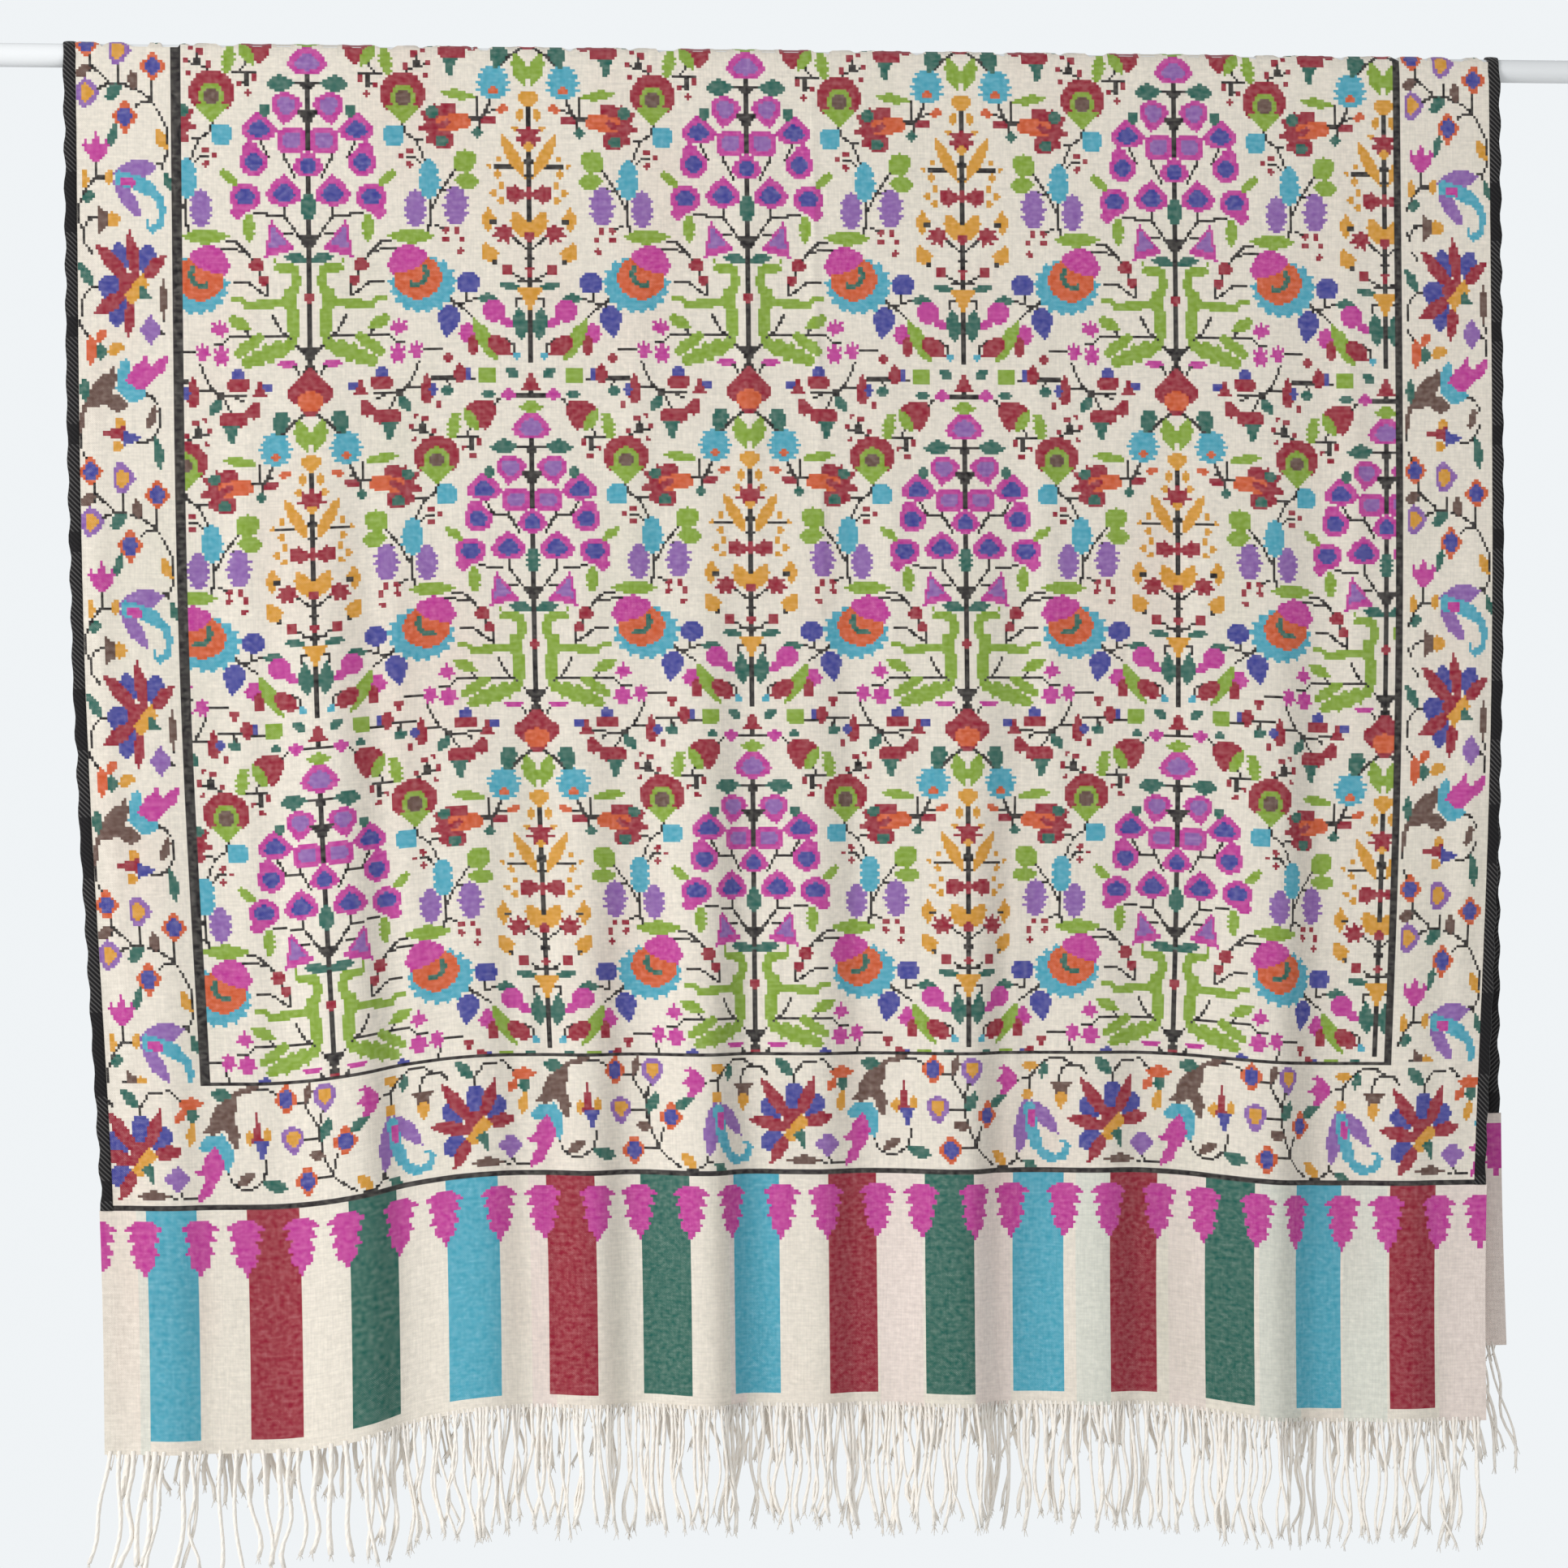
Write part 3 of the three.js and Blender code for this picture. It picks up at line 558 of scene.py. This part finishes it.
def clothSide(chart, acrossAt, alongAt, node, right, down):
    # triangles between the nodes, none of them across a shape's edge, and the colour number of each
    edges, index = lineEdges(node, right, down)
    rows, columns = np.nonzero(node)
    flat = np.stack([acrossAt[columns], alongAt[rows]], 1)
    squeezed = [Vector(p) for p in (flat * [1, weave['squeeze']]).tolist()]
    found = delaunay_2d_cdt(squeezed, edges.tolist(), [], 0, 1e-6, False)
    assert len(found[0]) == len(flat), 'points were merged'
    faces = np.array(found[2])
    middle = flat[faces].mean(1)
    row = np.clip(np.searchsorted(alongAt, middle[:, 1]) - 1, 0, chart.shape[0] - 1)
    column = np.clip(np.searchsorted(acrossAt, middle[:, 0]) - 1, 0, chart.shape[1] - 1)
    colour = chart[row, column]
    keep = colour != void
    return flat, faces[keep][:, ::-1], colour[keep], index


def rimOf(faces, count):
    # the edges that only one triangle has
    sides = np.concatenate([faces[:, [0, 1]], faces[:, [1, 2]], faces[:, [2, 0]]])
    pairs = np.sort(sides, 1) @ np.array([count + 1, 1])
    _, first, uses = np.unique(pairs, return_index=True, return_counts=True)
    return sides[first[uses == 1]]


def buildCloth(name, material):
    # one fall: a coloured outer side, a plainer inner side, and the rim between them
    marks = weave['marks'][name]
    acrossAt, alongAt = acrossLines(), splitAt(marks, weave['cellDown'])
    acrossMiddle, alongMiddle = (acrossAt[1:] + acrossAt[:-1]) / 2, (alongAt[1:] + alongAt[:-1]) / 2
    chart = weaveChart(name, acrossMiddle, alongMiddle)
    node, right, down = chartNodes(chart, *weave['outerPoints'])
    flat, faces, colours, index = clothSide(chart, acrossAt, alongAt, node, right, down)
    # the inner side keeps its colours near the long edges and the hem, where it can be seen, and is plain between
    nearEdge = np.abs(acrossMiddle) > weave['innerEdge']
    nearHem = np.abs(alongMiddle) > drape[name] - weave['innerHem']
    inner = np.where(nearEdge[None, :] | nearHem[:, None] | (chart == void), chart, 0).astype(np.uint8)
    nodeIn, rightIn, downIn = chartNodes(inner, *weave['innerPoints'])
    cloth = np.pad(chart != void, 1)
    corners = np.stack([cloth[:-1, :-1], cloth[:-1, 1:], cloth[1:, :-1], cloth[1:, 1:]])
    outline = corners.any(0) & ~corners.all(0)
    nodeIn = (nodeIn & ~outline) | (node & outline)
    flatIn, facesIn, coloursIn, indexIn = clothSide(inner, acrossAt, alongAt, nodeIn, rightIn, downIn)
    outward, outwardIn = clothNormal(*flat.T), clothNormal(*flatIn.T)
    points = np.concatenate([clothMiddle(*flat.T) + outward * drape['wall'] / 2,
                             clothMiddle(*flatIn.T) - outwardIn * drape['wall'] / 2])
    # every point of the outer rim has a twin on the inner one
    count, rim = len(flat), rimOf(faces, len(flat))
    twin = np.full(count, -1)
    twin[index[node & outline]] = indexIn[node & outline]
    assert (twin[rim] >= 0).all(), 'the rim has no twin'
    quads = np.stack([rim[:, 1], rim[:, 0], twin[rim[:, 0]] + count, twin[rim[:, 1]] + count], 1)
    triangles = np.concatenate([faces, facesIn[:, ::-1] + count])
    piece = makeObject('shawl_' + name, points, triangles.tolist() + quads.tolist(), material)
    corner, flats = cornerVertices(piece), np.concatenate([flat, flatIn])
    perFace = np.concatenate([colours, coloursIn, np.zeros(len(quads), int)]).astype(int)
    sizes = np.repeat([3, 4], [len(triangles), len(quads)])
    cornerColour = np.ones((len(corner), 4))
    cornerColour[:, :3] = np.repeat((np.array(list(yarn.values())) / 255)[perFace], sizes, axis=0)
    piece.data.color_attributes.new('yarn', 'BYTE_COLOR', 'CORNER').data.foreach_set('color_srgb', cornerColour.ravel())
    # the loom's own measure in metres, for the shaders
    addMap(piece, 'loom', flats[corner] / 1000)
    cornerNormal = np.concatenate([outward, outwardIn])[corner]
    firstInner, firstRim = len(faces) * 3, len(triangles) * 3
    cornerNormal[firstInner:firstRim] *= -1
    a, b, c = (points[quads[:, k]] for k in (0, 1, 2))
    flatNormal = np.cross(b - a, c - b)
    flatNormal /= np.maximum(np.linalg.norm(flatNormal, axis=1, keepdims=True), 1e-9)
    cornerNormal[firstRim:] = np.repeat(flatNormal, 4, axis=0)
    piece.data.normals_split_custom_set(cornerNormal.tolist())
    # the bake map: the outer side below, the inner one over it, and the rim in a row of cells at the top
    place = (flats[corner] - [-drape['halfWidth'], marks[0]]) / [2 * drape['halfWidth'], marks[-1] - marks[0]]
    place[:, 0] = 0.01 + 0.98 * place[:, 0]
    place[:firstInner, 1] = 0.01 + 0.80 * place[:firstInner, 1]
    place[firstInner:firstRim, 1] = 0.83 + 0.13 * place[firstInner:firstRim, 1]
    wide = 0.98 / len(quads)
    cells = np.tile([[0, 0], [1, 0], [1, 1], [0, 1]], (len(quads), 1)) * [wide, 0.01] + [0.01, 0.975]
    place[firstRim:] = cells + np.repeat(np.arange(len(quads)), 4)[:, None] * [wide, 0]
    addMap(piece, 'OFBake', place)
    print(piece.name, 'triangles', len(triangles) + 2 * len(quads), 'outer', len(faces), 'inner', len(facesIn))
    return piece


# shaders: groups give only colours, masks and heights, and the materials hold the shaders
def newGroup(name, inputs, outputs):
    group = bpy.data.node_groups.new(name, 'ShaderNodeTree')
    for label, kind, value in inputs:
        socket = group.interface.new_socket(label, in_out='INPUT', socket_type=kind)
        socket.default_value = value
    for label, kind in outputs:
        group.interface.new_socket(label, in_out='OUTPUT', socket_type=kind)
    return group, group.nodes.new('NodeGroupInput'), group.nodes.new('NodeGroupOutput')


def math2(tree, operation, a, b=None, c=None):
    node = tree.nodes.new('ShaderNodeMath')
    node.operation = operation
    for slot, value in enumerate((a, b, c)):
        if value is None:
            continue
        if isinstance(value, (int, float)):
            node.inputs[slot].default_value = value
        else:
            tree.links.new(value, node.inputs[slot])
    return node.outputs[0]


def noiseOf(tree, vector, scale, stretch=(1, 1, 1), detail=2):
    mapping = tree.nodes.new('ShaderNodeMapping')
    mapping.inputs['Scale'].default_value = stretch
    noise = tree.nodes.new('ShaderNodeTexNoise')
    noise.inputs['Scale'].default_value = scale
    noise.inputs['Detail'].default_value = detail
    tree.links.new(vector, mapping.inputs['Vector'])
    tree.links.new(mapping.outputs['Vector'], noise.inputs['Vector'])
    return noise.outputs['Fac']


def mixOf(tree, factor, a, b, blend='MIX'):
    node = tree.nodes.new('ShaderNodeMix')
    node.data_type = 'RGBA'
    node.blend_type = blend
    for slot, value in ((0, factor), (6, a), (7, b)):
        if isinstance(value, (int, float)):
            node.inputs[slot].default_value = value
        elif isinstance(value, tuple):
            node.inputs[slot].default_value = (*value, 1)
        else:
            tree.links.new(value, node.inputs[slot])
    return node.outputs[2]


def makeTwill():
    # the loom's own lines: a 45 degree twill falling to the right, and threads of uneven thickness
    vector, value = 'NodeSocketVector', 'NodeSocketFloat'
    group, given, out = newGroup('twill', [('Loom', vector, (0, 0, 0)), ('Pitch', value, 0.0012)],
                                 [(label, value) for label in ('Line', 'Thread', 'Bar', 'Drift')])
    loom = given.outputs['Loom']
    split = group.nodes.new('ShaderNodeSeparateXYZ')
    group.links.new(loom, split.inputs[0])
    wobble = math2(group, 'MULTIPLY', noiseOf(group, loom, 160), 0.0006)
    # 0.5 + 0.5 sin(2 pi (across - along) / pitch), the pitch measured along the weft
    lane = math2(group, 'ADD', math2(group, 'SUBTRACT', split.outputs['X'], split.outputs['Y']), wobble)
    turn = math2(group, 'MULTIPLY', math2(group, 'DIVIDE', lane, given.outputs['Pitch']), 2 * math.pi)
    warp, weft = noiseOf(group, loom, 1, (900, 60, 1)), noiseOf(group, loom, 1, (60, 800, 1))
    made = {'Line': math2(group, 'MULTIPLY_ADD', math2(group, 'SINE', turn), 0.5, 0.5),
            'Thread': math2(group, 'MULTIPLY', math2(group, 'ADD', warp, weft), 0.5),
            'Bar': noiseOf(group, loom, 1, (250, 330, 1), 3), 'Drift': noiseOf(group, loom, 9, (1, 0.45, 1), 3)}
    for label, socket in made.items():
        group.links.new(socket, out.inputs[label])
    return group


twillGroup = makeTwill()


def newMaterial(name, roughness, sheen):
    material = bpy.data.materials.new(name)
    material.use_nodes = True
    tree = material.node_tree
    shader = tree.nodes['Principled BSDF']
    shader.inputs['Roughness'].default_value = roughness
    shader.inputs['Specular IOR Level'].default_value = 0.25
    shader.inputs['Sheen Weight'].default_value = sheen
    shader.inputs['Sheen Roughness'].default_value = 0.45
    return material, tree, shader


def bumpOf(tree, height, distance, strength, shader):
    bump = tree.nodes.new('ShaderNodeBump')
    bump.inputs['Distance'].default_value = distance
    bump.inputs['Strength'].default_value = strength
    tree.links.new(height, bump.inputs['Height'])
    tree.links.new(bump.outputs['Normal'], shader.inputs['Normal'])


# how much cream the twill lets through, and how far the ground's tint drifts
clothLook = {'pitch': 0.0013, 'cream': 0.19, 'thread': 0.28, 'mottle': 0.36, 'creamColour': (0.78, 0.71, 0.62),
             'pink': (0.88, 0.72, 0.72), 'green': (0.74, 0.79, 0.72)}


def twillNodes(tree, uvName, pitch):
    loom = tree.nodes.new('ShaderNodeUVMap')
    loom.uv_map = uvName
    twill = tree.nodes.new('ShaderNodeGroup')
    twill.node_tree = twillGroup
    twill.inputs['Pitch'].default_value = pitch
    tree.links.new(loom.outputs['UV'], twill.inputs['Loom'])
    return loom.outputs['UV'], twill.outputs


def tinted(tree, share, colour, tint):
    return mixOf(tree, share, colour, mixOf(tree, 1.0, colour, tint, 'MULTIPLY'))


def pastLevel(tree, a, b, gain):
    # gain (a - b), and nothing below zero
    return math2(tree, 'MULTIPLY', math2(tree, 'MAXIMUM', math2(tree, 'SUBTRACT', a, b), 0.0), gain)


def makeClothMaterial():
    material, tree, shader = newMaterial('kaniWool', 0.88, 0.12)
    loom, twill = twillNodes(tree, 'loom', clothLook['pitch'])
    yarnNode = tree.nodes.new('ShaderNodeVertexColor')
    yarnNode.layer_name = 'yarn'
    # the twill lets the cream warp show in every colour, more where the thread runs thin
    thin = math2(tree, 'MULTIPLY_ADD', twill['Thread'], 1.2, -0.1)
    share = math2(tree, 'MULTIPLY', math2(tree, 'POWER', twill['Line'], 1.6), thin)
    share = math2(tree, 'MULTIPLY', share, math2(tree, 'MULTIPLY_ADD', twill['Bar'], 4.0, -1.3))
    share = math2(tree, 'MULTIPLY', share, clothLook['cream'] * 2)
    colour = mixOf(tree, share, yarnNode.outputs['Color'], clothLook['creamColour'])
    thread = math2(tree, 'MULTIPLY_ADD', twill['Thread'], clothLook['thread'] * 2, 1 - clothLook['thread'])
    mottle = math2(tree, 'MULTIPLY_ADD', twill['Bar'], clothLook['mottle'], 1 - clothLook['mottle'] / 2)
    for grey in (thread, mottle):
        colour = mixOf(tree, 1.0, colour, grey, 'MULTIPLY')
    colour = tinted(tree, pastLevel(tree, twill['Drift'], 0.54, 1.6), colour, clothLook['pink'])
    colour = tinted(tree, pastLevel(tree, 0.44, twill['Drift'], 2.2), colour, clothLook['green'])
    tree.links.new(colour, shader.inputs['Base Color'])
    height = math2(tree, 'ADD', math2(tree, 'MULTIPLY', twill['Line'], 0.5), twill['Thread'])
    bumpOf(tree, height, 0.0004, 0.5, shader)
    return material


def makeEdgingMaterial():
    material, tree, shader = newMaterial('edgingWool', 0.85, 0.1)
    loom, twill = twillNodes(tree, 'loom', 0.0034)
    # lengths where the pale warp is covered stand solid black
    covered = math2(tree, 'GREATER_THAN', noiseOf(tree, loom, 1, (0, 14, 1), 0), 0.56)
    pale = math2(tree, 'GREATER_THAN', twill['Line'], 0.70)
    share = math2(tree, 'MULTIPLY', pale, math2(tree, 'MULTIPLY_ADD', covered, -0.28, 0.34))
    colour = mixOf(tree, share, (0.008, 0.007, 0.008), (0.22, 0.21, 0.20))
    tree.links.new(colour, shader.inputs['Base Color'])
    bumpOf(tree, math2(tree, 'ADD', twill['Line'], twill['Thread']), 0.0006, 0.6, shader)
    return material


def makeFringeMaterial():
    material, tree, shader = newMaterial('fringeYarn', 0.85, 0.2)
    uv = tree.nodes.new('ShaderNodeUVMap')
    uv.uv_map = 'ply'
    split = tree.nodes.new('ShaderNodeSeparateXYZ')
    tree.links.new(uv.outputs['UV'], split.inputs[0])
    # two plies: 0.5 + 0.5 sin(2 pi (2 around + along))
    turn = math2(tree, 'MULTIPLY_ADD', split.outputs['X'], 2.0, split.outputs['Y'])
    ply = math2(tree, 'MULTIPLY_ADD', math2(tree, 'SINE', math2(tree, 'MULTIPLY', turn, 2 * math.pi)), 0.5, 0.5)
    place = tree.nodes.new('ShaderNodeTexCoord')
    tint = noiseOf(tree, place.outputs['Object'], 30)
    light = mixOf(tree, tint, (0.96, 0.92, 0.85), (0.92, 0.86, 0.78))
    # painted shade: the colour darkens toward (0.78, 0.68, 0.60) in the grooves between the two plies, up to three
    # tenths of the way
    colour = mixOf(tree, math2(tree, 'MULTIPLY', math2(tree, 'SUBTRACT', 1.0, ply), 0.3), light, (0.78, 0.68, 0.60))
    tree.links.new(colour, shader.inputs['Base Color'])
    bumpOf(tree, ply, 0.0006, 0.35, shader)
    return material


def makeRodMaterial():
    material, tree, shader = newMaterial('whiteRod', 0.35, 0)
    place = tree.nodes.new('ShaderNodeTexCoord')
    grain = noiseOf(tree, place.outputs['Object'], 40, (0.1, 1, 1))
    colour = mixOf(tree, grain, (0.86, 0.87, 0.87), (0.80, 0.81, 0.82))
    tree.links.new(colour, shader.inputs['Base Color'])
    bumpOf(tree, grain, 0.0002, 0.3, shader)
    return material


clothMaterial = makeClothMaterial()
front, back = buildCloth('front', clothMaterial), buildCloth('back', clothMaterial)

# the dark edging: from the back end border over the rod to the front one, a rounded band round the cloth's edge
edging = {'from': -737.5, 'to': 781.5, 'inner': 490.4, 'outer': 499.6, 'thick': 1.5, 'around': 12, 'step': 5,
          'lump': 26, 'wave': 1.5}


def makeEdging(name, side, material):
    # a flattened ring carried along the cloth's edge
    count = int((edging['to'] - edging['from']) / edging['step'])
    along = np.linspace(edging['from'], edging['to'], count + 1)
    random = np.random.default_rng(7 + side)
    turn = np.arange(edging['around']) / edging['around'] * 2 * np.pi
    # the outer edge steps in a little at every lump, by unequal amounts
    lumps = np.cos(2 * np.pi * along / edging['lump']) - 1
    knots = np.interp(along, along[::9], random.uniform(0.3, 1.2, len(along[::9])))
    outer = edging['outer'] + edging['wave'] * 0.6 * lumps * knots
    half, middle = (outer - edging['inner']) / 2, (outer + edging['inner']) / 2
    across = side * (middle[:, None] + half[:, None] * np.cos(turn))
    lift = edging['thick'] * (0.7 + 0.3 * knots[:, None]) * np.sign(np.sin(turn)) * np.abs(np.sin(turn)) ** 0.6
    place = np.broadcast_to(along[:, None], across.shape)
    points = clothPoint(across, place, lift * side).reshape(-1, 3)
    piece = makeObject(name, points, bandFaces(edging['around'], len(along)), material)
    addMap(piece, 'loom', np.stack([across.ravel(), place.ravel()], 1)[cornerVertices(piece)] / 1000)
    return piece


edgingMaterial = makeEdgingMaterial()
edgings = [makeEdging('edging_left', -1, edgingMaterial), makeEdging('edging_right', 1, edgingMaterial)]
print('edging made')

# the fringe: twisted cords from the hem, sparse at the left and closer in the middle
# each has two root threads and a frayed tip
fringe = {'radius': 1.22, 'sides': 5, 'rings': 11, 'shortest': 72, 'longest': 90, 'sway': 5.4, 'threads': 3}


def fringePlaces(name, random):
    # the cords' places along the hem, a step apart that varies by half
    places, at = [], -496.0
    while at < 497:
        places.append(at)
        closer = 9.4 if at < -330 else (4.0 if at < 330 else 4.8)
        at += (closer if name == 'front' else 5.6) * random.uniform(0.5, 1.5)
    return np.array(places)


def tubes(paths, radii, sides):
    # level rings of points round every path, (tubes, rings, 3), with a radius for each ring, (tubes, rings)
    count, rings, _ = paths.shape
    turn = np.arange(sides) / sides * 2 * np.pi
    ring = np.stack([np.cos(turn), np.sin(turn), np.zeros(sides)], -1)
    points = paths[:, :, None, :] + radii[:, :, None, None] * ring
    t, r, s = np.meshgrid(np.arange(count), np.arange(rings - 1), np.arange(sides), indexing='ij')
    a = (t * rings + r) * sides + s
    b = (t * rings + r) * sides + (s + 1) % sides
    quads = np.stack([b, a, a + sides, b + sides], -1).reshape(-1, 4)
    first = (np.arange(count) * rings * sides)[:, None] + np.arange(sides)
    caps = first.tolist() + (first + (rings - 1) * sides)[:, ::-1].tolist()
    around = np.broadcast_to(turn / (2 * np.pi), points.shape[:3])
    down = np.broadcast_to((paths[:, :1, 2] - paths[:, :, 2])[:, :, None] / 7.0, points.shape[:3])
    return points.reshape(-1, 3), quads.tolist() + caps, np.stack([around.ravel(), down.ravel()], 1)


def makeFringe(name, material):
    random = np.random.default_rng(11 if name == 'front' else 12)
    places = fringePlaces(name, random)
    count = len(places)
    sign = 1 if name == 'front' else -1
    hem = clothMiddle(places, np.full(count, sign * (drape[name] - 2.5)))
    share = np.linspace(0, 1, fringe['rings'])
    long = random.uniform(fringe['shortest'], fringe['longest'], count)
    # each cord leans, then waves once or twice on the way down: sway share sin(2 pi turns share + start)
    lean = random.normal(0, 4.0, count)[:, None]
    # the last cords at one end fan outward: to the left in front and to the right behind
    fan = smooth((-places - 400) / 90) * -9 if name == 'front' else smooth((places - 360) / 120) * 17
    lean = lean + fan[:, None]
    turns, start = random.uniform(0.6, 1.7, count)[:, None], random.uniform(0, 6.28, count)[:, None]
    wave = fringe['sway'] * share * np.sin(2 * np.pi * turns * share + start) * random.uniform(0.3, 1.0, (count, 1))
    x = hem[:, :1] + lean * share + wave
    y = hem[:, 1:2] + 0.9 * share * np.cos(2 * np.pi * turns * share + start * 1.7)
    z = hem[:, 2:] - long[:, None] * share
    paths = np.stack([x, y, z], -1)
    thick = fringe['radius'] * random.uniform(0.72, 1.25, count)[:, None]
    thick = thick * np.where(places < -330, 1.4, 1.0)[:, None]
    # not quite half of the cords have a knot near the tip
    knot = np.exp(-((share - 0.93) / 0.03) ** 2) * (random.random((count, 1)) < 0.45)
    radii = thick * (1 + 0.08 * np.sin(share * 40) + 0.9 * knot)
    parts = [tubes(paths, radii, fringe['sides'])]
    for side in (-1, 1):
        # the root threads gather from the hem into the cord
        gather = np.linspace(0, 1, 4)
        wide = random.uniform(1.6, 3.6, (count, 1))
        root = np.stack([hem[:, :1] + side * wide * (1 - gather ** 1.5) + 0 * gather, hem[:, 1:2] + 0 * gather,
                         hem[:, 2:] - gather * random.uniform(9, 16, (count, 1))], -1)
        parts.append(tubes(root, np.full((count, 4), 0.55), 3))
    for number in range(fringe['threads']):
        # a frayed tip: short threads that spread below the knot
        spread = (number - 1) * random.uniform(0.8, 2.6, (count, 1))
        tip = np.linspace(0, 1, 3)
        fallen = tip * random.uniform(3, 7, (count, 1))
        fray = np.stack([x[:, -1:] + spread * tip, y[:, -1:] + 0 * tip, z[:, -1:] + 1 - fallen], -1)
        parts.append(tubes(fray, np.array([0.6, 0.45, 0.2]) * np.ones((count, 3)), 3))
    points, faces, plies, shift = [], [], [], 0
    for somePoints, someFaces, somePlies in parts:
        points.append(somePoints)
        plies.append(somePlies)
        faces += [[v + shift for v in face] for face in someFaces]
        shift += len(somePoints)
    piece = makeObject('fringe_cords_' + name, np.concatenate(points), faces, material)
    addMap(piece, 'ply', np.concatenate(plies)[cornerVertices(piece)])
    print(piece.name, 'cords', count, 'faces', len(faces))
    return piece


fringeMaterial = makeFringeMaterial()
fringes = [makeFringe('front', fringeMaterial), makeFringe('back', fringeMaterial)]

# the white rod: a plain round bar with eased ends
rod = {'radius': 8, 'half': 600, 'ease': 1.5, 'around': 96}


def makeRod(material):
    # a profile with quarter-round ends, turned round the rod's own axis
    curve = np.linspace(0, np.pi / 2, 6)
    x = rod['half'] - rod['ease'] + rod['ease'] * np.sin(curve)
    r = rod['radius'] - rod['ease'] + rod['ease'] * np.cos(curve)
    x, r = np.concatenate([-x[::-1], x]), np.concatenate([r[::-1], r])
    turn = np.arange(rod['around']) / rod['around'] * 2 * np.pi
    y, z = np.outer(r, np.cos(turn)).ravel(), np.outer(r, np.sin(turn)).ravel()
    faces = bandFaces(len(turn), len(x))
    return makeObject('white_rod', np.stack([np.repeat(x, len(turn)), y, z], 1), faces, material)


rodPiece = makeRod(makeRodMaterial())
print('rod made')

dressed = (
    (front, 'shawl_cloth', ('cloth_over_rod', 'cloth_front')),
    (back, 'shawl_cloth', ('cloth_back',)),
    (edgings[0], 'dark_edging', ('edging_over_rod_left', 'edging_front_left', 'edging_back_left')),
    (edgings[1], 'dark_edging', ('edging_over_rod_right', 'edging_front_right', 'edging_back_right')),
    (fringes[0], 'fringe_yarn', ('fringe_front',)),
    (fringes[1], 'fringe_yarn', ('fringe_back',)),
    (rodPiece, 'rod_paint', ('rod',)))
for piece, slot, nodes in dressed:
    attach(piece, 'root')
    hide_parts(*nodes)

# the studio: a pale floor well below, a soft key from the left, weaker light all round
studio = {'floor': -1.45, 'floorHalf': 1.6, 'key': 89, 'fill': 14, 'back': 34, 'world': 0.565,
          'seen': (0.87, 0.90, 0.92)}


def makeFloor():
    material, tree, shader = newMaterial('floorPaint', 0.8, 0)
    shader.inputs['Base Color'].default_value = (0.86, 0.87, 0.87, 1)
    half, level = studio['floorHalf'] * 1000, studio['floor'] * 1000
    corners = [(-half, -half, level), (half, -half, level), (half, half, level), (-half, half, level)]
    makeObject('floor', corners, [[0, 1, 2, 3]], material)


def makeLight(name, place, size, energy):
    data = bpy.data.lights.new(name, 'AREA')
    data.size, data.energy = size, energy
    light = bpy.data.objects.new(name, data)
    light.location = place
    light.rotation_euler = (Vector((0, 0, -0.5)) - Vector(place)).to_track_quat('-Z', 'Y').to_euler()
    bpy.context.scene.collection.objects.link(light)


def makeWorld():
    world = bpy.data.worlds.new('studio')
    bpy.context.scene.world = world
    world.use_nodes = True
    tree = world.node_tree
    background = tree.nodes['Background']
    path = tree.nodes.new('ShaderNodeLightPath')
    # the camera sees a near-white room; the cloth is lit by a weaker one
    strength = math2(tree, 'MULTIPLY_ADD', path.outputs['Is Camera Ray'], 1.0 - studio['world'], studio['world'])
    tree.links.new(strength, background.inputs['Strength'])
    background.inputs['Color'].default_value = (*studio['seen'], 1)


makeFloor()
makeLight('key', (-3.0, -2.0, 0.5), 1.4, studio['key'])
makeLight('fill', (2.2, -2.8, -0.2), 2.0, studio['fill'])
makeLight('back', (2.4, 2.8, 0.4), 1.8, studio['back'])
makeWorld()
bpy.context.scene.view_settings.view_transform = 'Standard'
print('studio set')
